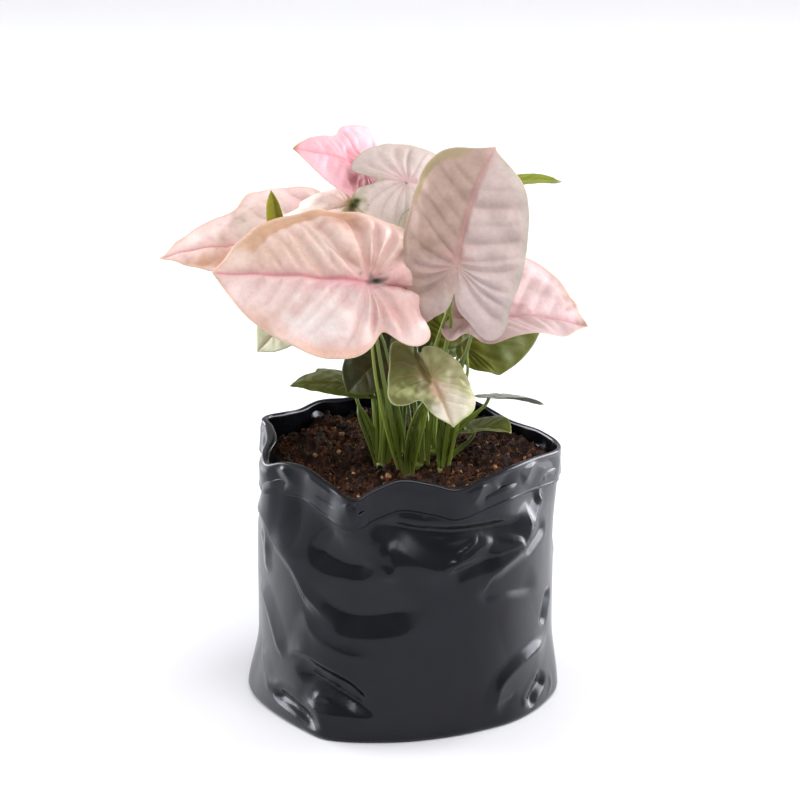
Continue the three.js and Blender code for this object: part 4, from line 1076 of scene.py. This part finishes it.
LOOKS = {
    "front_left": look(
        PINK, "#f5dcd8 #edd0c5 #dab892 #e6a2a6 #e08492 #ecc9b4", lean=(0.34, 0.34), pairs=6, puff=2.9, hollow=0.12,
        size=(320, 64), bands=[("right", 6, 84, 0.83, "#d6ab8c", 0.95), ("right", 6, 84, 0.972, "#e9d0bb", 0.8),
        ("left", 12, 130, 0.88, "#f3c9b8", 0.7)], marks=[(278, 252, 26, 13, -14, "#e0c0ac", 0.75),
        (300, 258, 12, 9, 20, "#e3c6b4", 0.6), (366, 262, 18, 8, 35, "#d3a497", 0.7),
        (400, 286, 16, 5, 12, "#cc9a8b", 0.9), (268, 322, 12, 18, 55, "#dcb6a6", 0.6),
        (352, 283, 44, 6, -2, "#f4bcc6", 0.7), (324, 248, 20, 9, -10, "#f2dcd2", 0.7),
        (345, 223, 26, 9, 12, "#bf8d76", 0.8), (398, 312, 30, 20, 0, "#efc0b9", 0.75),
        (318, 324, 34, 18, -10, "#fdf4f2", 0.85), (385, 238, 20, 18, 0, "#eec9c4", 0.6),
        (400, 272, 12, 9, 0, "#f6c2c4", 0.6), (330, 352, 50, 7, 3, "#f1c3ae", 0.6),
        # The spot at the joint is painted shade: a dark patch for the gap between the lobes there, which lies in
        # shade.
        (240, 262, 14, 10, -30, "#f3e0d2", 0.6)], spots=[(376, 280.5, 8, 5, 4, "#27300e", 1.0)],
        creases=[([(384, 286), (400, 285), (412, 290)], -2.0, 3.5),
        ([(372, 278), (356, 266), (338, 252), (320, 240)], -1.5, 3.5),
        ([(316, 246), (324, 240), (330, 255), (334, 270)], -0.6, 2)]),
    "front_right": look(
        MAUVE, "#c3a69a #dcc7c3 #b9ad8c #d4b3ab #dba4a4 #cdbba6", lean=(0.3, 0.1), pairs=5, puff=1.7, hollow=0.1,
        edge_at=0.975, size=(300, 60), bands=[("right", 0, 150, 0.9, "#d6cac1", 0.9),
        ("left", 8, 52, 0.88, "#a99c6e", 0.75), ("left", 52, 100, 0.93, "#a58a72", 0.6)],
        marks=[(430, 263, 16, 10, 0, "#d0b3b2", 0.6), (427, 245, 14, 8, 45, "#a58a76", 0.6),
        (432, 300, 12, 22, 20, "#c4b0aa", 0.7), (448, 300, 6, 16, 25, "#dccfc8", 0.7),
        (455, 258, 14, 12, 0, "#cf9c98", 0.6), (470, 165, 20, 12, 0, "#bfa399", 0.5),
        (500, 205, 14, 16, 0, "#c4aeaa", 0.55), (512, 235, 10, 14, 0, "#c3b1aa", 0.6),
        (485, 295, 20, 26, 0, "#dfd0d0", 0.5), (432, 285, 8, 8, 0, "#ab8f80", 0.5)]),
    "right_pink": look(
        PINK, "#ecd0d2 #cdb3b3 #d9c0ae #d9a8aa #d993a0 #dcbfae", pairs=5, puff=1.0, size=(260, 52),
        marks=[(573, 302, 12, 7, 55, "#b08a78", 0.85), (548, 292, 22, 8, 25, "#cfb4b3", 0.7),
        # The two brown blotches at (470, 318) and (468, 300) are painted shade on the back lobe, which lies in shade
        # behind the notch of the front right leaf.
        (566, 290, 12, 8, 40, "#c8aaa0", 0.7), (470, 318, 22, 10, 20, "#a07c6c", 0.8),
        (468, 300, 16, 14, 0, "#86684f", 0.9), (515, 306, 12, 5, 20, "#d09aa4", 0.7)],
        spots=[(587, 321, 7, 6, 60, "#8a6a3a", 0.9)], creases=[([(560, 300), (568, 296), (576, 304)], -0.9, 3),
        ([(566, 306), (574, 300), (580, 310)], 0.7, 2.5)]),
    "right_under": look(
        GREEN, "#5f6712 #6c731a", puff=0.8, marks=[(515, 345, 16, 12, -40, "#77834b", 0.7),
        (500, 352, 8, 8, 0, "#6c7a40", 0.6)]),
    "front_small": look(
        PALE, "#a9ad7c #6a6c38 #a8b088 #a08a64 #c2a283 #b3bb85", pairs=5, puff=0.9, glow=0.3, size=(240, 50),
        bands=[("left", 30, 140, 0.92, "#a3ab72", 0.7)], marks=[(398, 374, 22, 20, 0, "#666a38", 0.8),
        (425, 376, 16, 9, 50, "#6f5f38", 0.75), (440, 368, 14, 7, -20, "#757141", 0.7),
        (455, 362, 12, 8, 30, "#b7af84", 0.6), (452, 404, 18, 20, 0, "#e0d6c6", 0.95),
        (438, 392, 10, 8, 50, "#dab6a4", 0.8), (445, 418, 12, 10, 0, "#e9e2d0", 0.9),
        (468, 375, 8, 16, 0, "#b9b68f", 0.6), (458, 384, 10, 8, 0, "#8c8550", 0.6),
        (410, 394, 26, 5, 10, "#aeb37c", 0.7)],
        creases=[([(414, 348), (420, 364), (427, 376), (433, 386)], -2.2, 2.6),
        ([(446, 378), (456, 374), (464, 380), (470, 386)], -1.2, 4), ([(448, 366), (458, 362), (468, 368)], 0.9, 5)]),
    "low_left": look(GREEN, "#65702a #7c8550 #5c6430", size=(170, 36)),
    "low_right_grey": look(PALE, "#b3b5ac #b0b3aa #8b9280 #a6a99f #9ea394 #a8ac98", size=(130, 26)),
    "low_right": look(GREEN, "#5a6222 #50591c #7c8450 #6c7430 #767e38 #85874a", size=(150, 32)),
    "far_left": look(
        MAUVE, "#f8dcd6 #fae0dc #cbb180 #dfa3a0 #d9939a #edc7b4", pairs=5, puff=1.6, size=(260, 52),
        bands=[("left", 26, 78, 0.88, "#c3a450", 0.95)], marks=[(205, 262, 26, 7, -8, "#d2a283", 0.85),
        (224, 252, 9, 14, 0, "#cf9c86", 0.8), (248, 218, 22, 22, 0, "#dccabf", 0.85),
        (235, 222, 8, 8, 0, "#c3a9a3", 0.6), (250, 235, 18, 12, 0, "#d9c5ba", 0.8),
        (195, 240, 24, 12, -35, "#fce4e0", 0.7), (272, 205, 18, 14, 0, "#f4dcd6", 0.8),
        (303, 203, 12, 12, 0, "#f8cfcf", 0.6), (318, 200, 10, 16, 20, "#e9e0d2", 0.8)],
        creases=[([(219, 220), (222, 236), (228, 252)], -0.8, 2), ([(180, 256), (200, 264), (222, 256)], -0.9, 5),
        ([(232, 222), (240, 218), (246, 226)], -0.7, 4), ([(240, 234), (250, 226), (262, 232)], 0.7, 4)]),
    "new_rolled": look(PALE, "#a8a13a #8f8c2c #9d9a3c #a6a440 #b3b055 #b5b052", puff=0.1, size=(120, 24)),
    "top_left": look(
        PINK, "#edbac4 #e8b4be #e6b9b4 #ef9fac #e88fa0 #f0c6bd", pairs=5, puff=0.7, size=(220, 44),
        marks=[(352, 165, 10, 22, -10, "#ea97a5", 0.6), (362, 135, 12, 8, 0, "#fbcdd8", 0.7),
        (352, 186, 10, 10, 0, "#d8959a", 0.7), (368, 172, 6, 12, 0, "#e39fa9", 0.6),
        (340, 158, 9, 6, 0, "#f4b3ba", 0.6)], spots=[(293.5, 148.5, 5, 5, 0, "#b0894c", 0.9)],
        creases=[([(345, 145), (350, 158), (356, 172)], -1.3, 3), ([(356, 150), (362, 162), (366, 176)], 1.0, 3),
        ([(346, 174), (352, 184), (354, 194)], -1.0, 3), ([(362, 176), (358, 184), (360, 192)], -0.8, 2.5),
        ([(372, 124), (375, 136), (377, 146)], -0.7, 2.5)]),
    "top_middle": look(
        MAUVE, "#d2c1bc #efe3de #d8d0bc #d8aeb2 #d3a0a8 #c9c7ae", pairs=5, puff=0.7, size=(220, 44),
        marks=[(373, 182, 12, 10, -15, "#cdc5ae", 0.7), (405, 150, 14, 10, 0, "#c8b4ab", 0.6),
        (400, 176, 16, 6, 20, "#cfa9b0", 0.6), (380, 205, 16, 18, 0, "#f0e0dd", 0.9),
        (366, 186, 8, 4, -20, "#b9b88f", 0.6)], spots=CURLED_EDGE_AND_GAP_SHADE),
    "cream": look(
        # bright=1.04 against the others' 0.88 is partly the leaf's own near-white colour and partly painted light that
        # lifts it where it lies in the shade of the leaves above.
        PINK, "#f8f2ea #f8f3ec #d9d0b0 #e2d2be #d9c2a8 #efe4d2", slot="leaf_cream", puff=0.5, glow=0.3, bright=1.04,
        size=(170, 36), marks=[(330, 208, 12, 10, 0, "#ece8e0", 0.6)], spots=CURLED_EDGE_AND_GAP_SHADE),
    "behind_right": look(
        PALE, "#c3b2a6 #b9b49a #a8b088 #b9b58c #c3a48c #9aa078", edge_at=0.93, size=(150, 30),
        marks=[(392, 213, 9, 4, -8, "#8a9460", 0.7)]),
    "tip_right": look(
        PALE, "#868f20 #8d9433 #a8b088 #99a03c #a0a648 #a9a860", size=(130, 26),
        marks=[(556, 181, 7, 4, 0, "#6d7428", 0.8)]),
    "left_under": look(PALE, "#cfd2b4 #cfd2b4 #b9c19a #b9b58c #c3a48c #8f9a62", size=(130, 26)),
    "inner_left": look(
        GREEN, "#3c3f1a #363a18 #7c8450 #454a20 #4a4a24", size=(150, 30),
        # The brown blotch at (375, 366) is painted shade deep among the stalks.
        marks=[(375, 366, 14, 10, 0, "#4a3822", 0.8)]),
    "inner_middle": look(GREEN, "#55642a #4d5b26", size=(150, 30)),
    "rear_right": look(GREEN, "#6b7a3c #64733a", size=(180, 36)),
    "rear_left": look(GREEN, "#66763a #5f6f36", size=(180, 36)),
    "rear_low": look(GREEN, "#5a6a30 #54642c", size=(150, 30)),
}

for name, leaf in LEAVES.items():
    make_leaf(name, leaf, LOOKS[name])
for name, spot in STEMS.items():
    make_stalks(name, spot)

# Floor, light and camera


FLAT_FLOOR, BEND, BEND_LENGTH = 3600, 900, 1414


def make_floor():
    """A sweep: level under the plant, then up in a round bend far behind it."""
    along = np.linspace(0, 6000, 40)
    bend = np.clip((along - FLAT_FLOOR) / BEND_LENGTH, 0, 1) * np.pi / 2
    y = np.where(along < FLAT_FLOOR, along - FLAT_FLOOR / 2, FLAT_FLOOR / 2 + BEND * np.sin(bend))
    z = BEND * (1 - np.cos(bend)) + np.maximum(along - FLAT_FLOOR - BEND_LENGTH, 0) * 1.6
    x = np.linspace(-3000, 3000, 12)
    grid = np.stack(np.broadcast_arrays(x[None, :], y[:, None], z[:, None]), -1)
    mesh_object("floor", grid.reshape(-1, 3), grid_faces(40, 12, wrap=False)[:, ::-1], material=PAPER)


def aimed(obj, place, way):
    """Puts the object at a place in millimetres, looking that way."""
    obj.location = Vector(place) / PER_METRE
    obj.rotation_euler = Vector(way).to_track_quat("-Z", "Y").to_euler()


def box_light(name, place, target, size, power, tone):
    """A soft box that looks at a target. Places and sizes in millimetres, power in watts."""
    data = bpy.data.lights.new(name, "AREA")
    data.shape = "RECTANGLE"
    data.size, data.size_y = size[0] / PER_METRE, size[1] / PER_METRE
    data.energy, data.color = power, tone
    aimed(linked(name, data), place, Vector(target) - Vector(place))


def make_surroundings():
    """A pale room, darker in front from the level of the eye up to the lamp."""
    room = bpy.data.worlds.new("studio")
    room.use_nodes = True
    n = Nodes(room.node_tree)
    way = n.add("SeparateXYZ", Vector=n.add("TexCoord").outputs["Generated"])
    front = n.math("MULTIPLY", n.ramp(way.outputs["Y"], -0.3, -0.75), n.ramp(way.outputs["Z"], 0.9, 0.65))
    sky = n.add("Background", Color=(0.985, 0.985, 1.0, 1), Strength=n.ramp(front, 0, 1, 0.79, 0.4))
    n.add("OutputWorld", Surface=sky.outputs[0])
    bpy.context.scene.world = room


make_floor()
box_light("key", (500, -1000, 1900), (0, 0, 150), (1300, 1300), 31, (1, 0.995, 0.985))
for name, side in (("left_panel", -1), ("right_panel", 1)):
    box_light(name, (side * 1250, 500, 350), (0, 0, 100), (1200, 900), 40, (0.96, 0.97, 1))
make_surroundings()

lens = bpy.data.cameras.new("camera")
lens.lens, lens.sensor_width = 144, 36
lens.clip_end = 50
eye = linked("camera", lens)
aimed(eye, EYE, AHEAD)
bpy.context.scene.camera = eye
bpy.context.scene.view_settings.view_transform = "Standard"
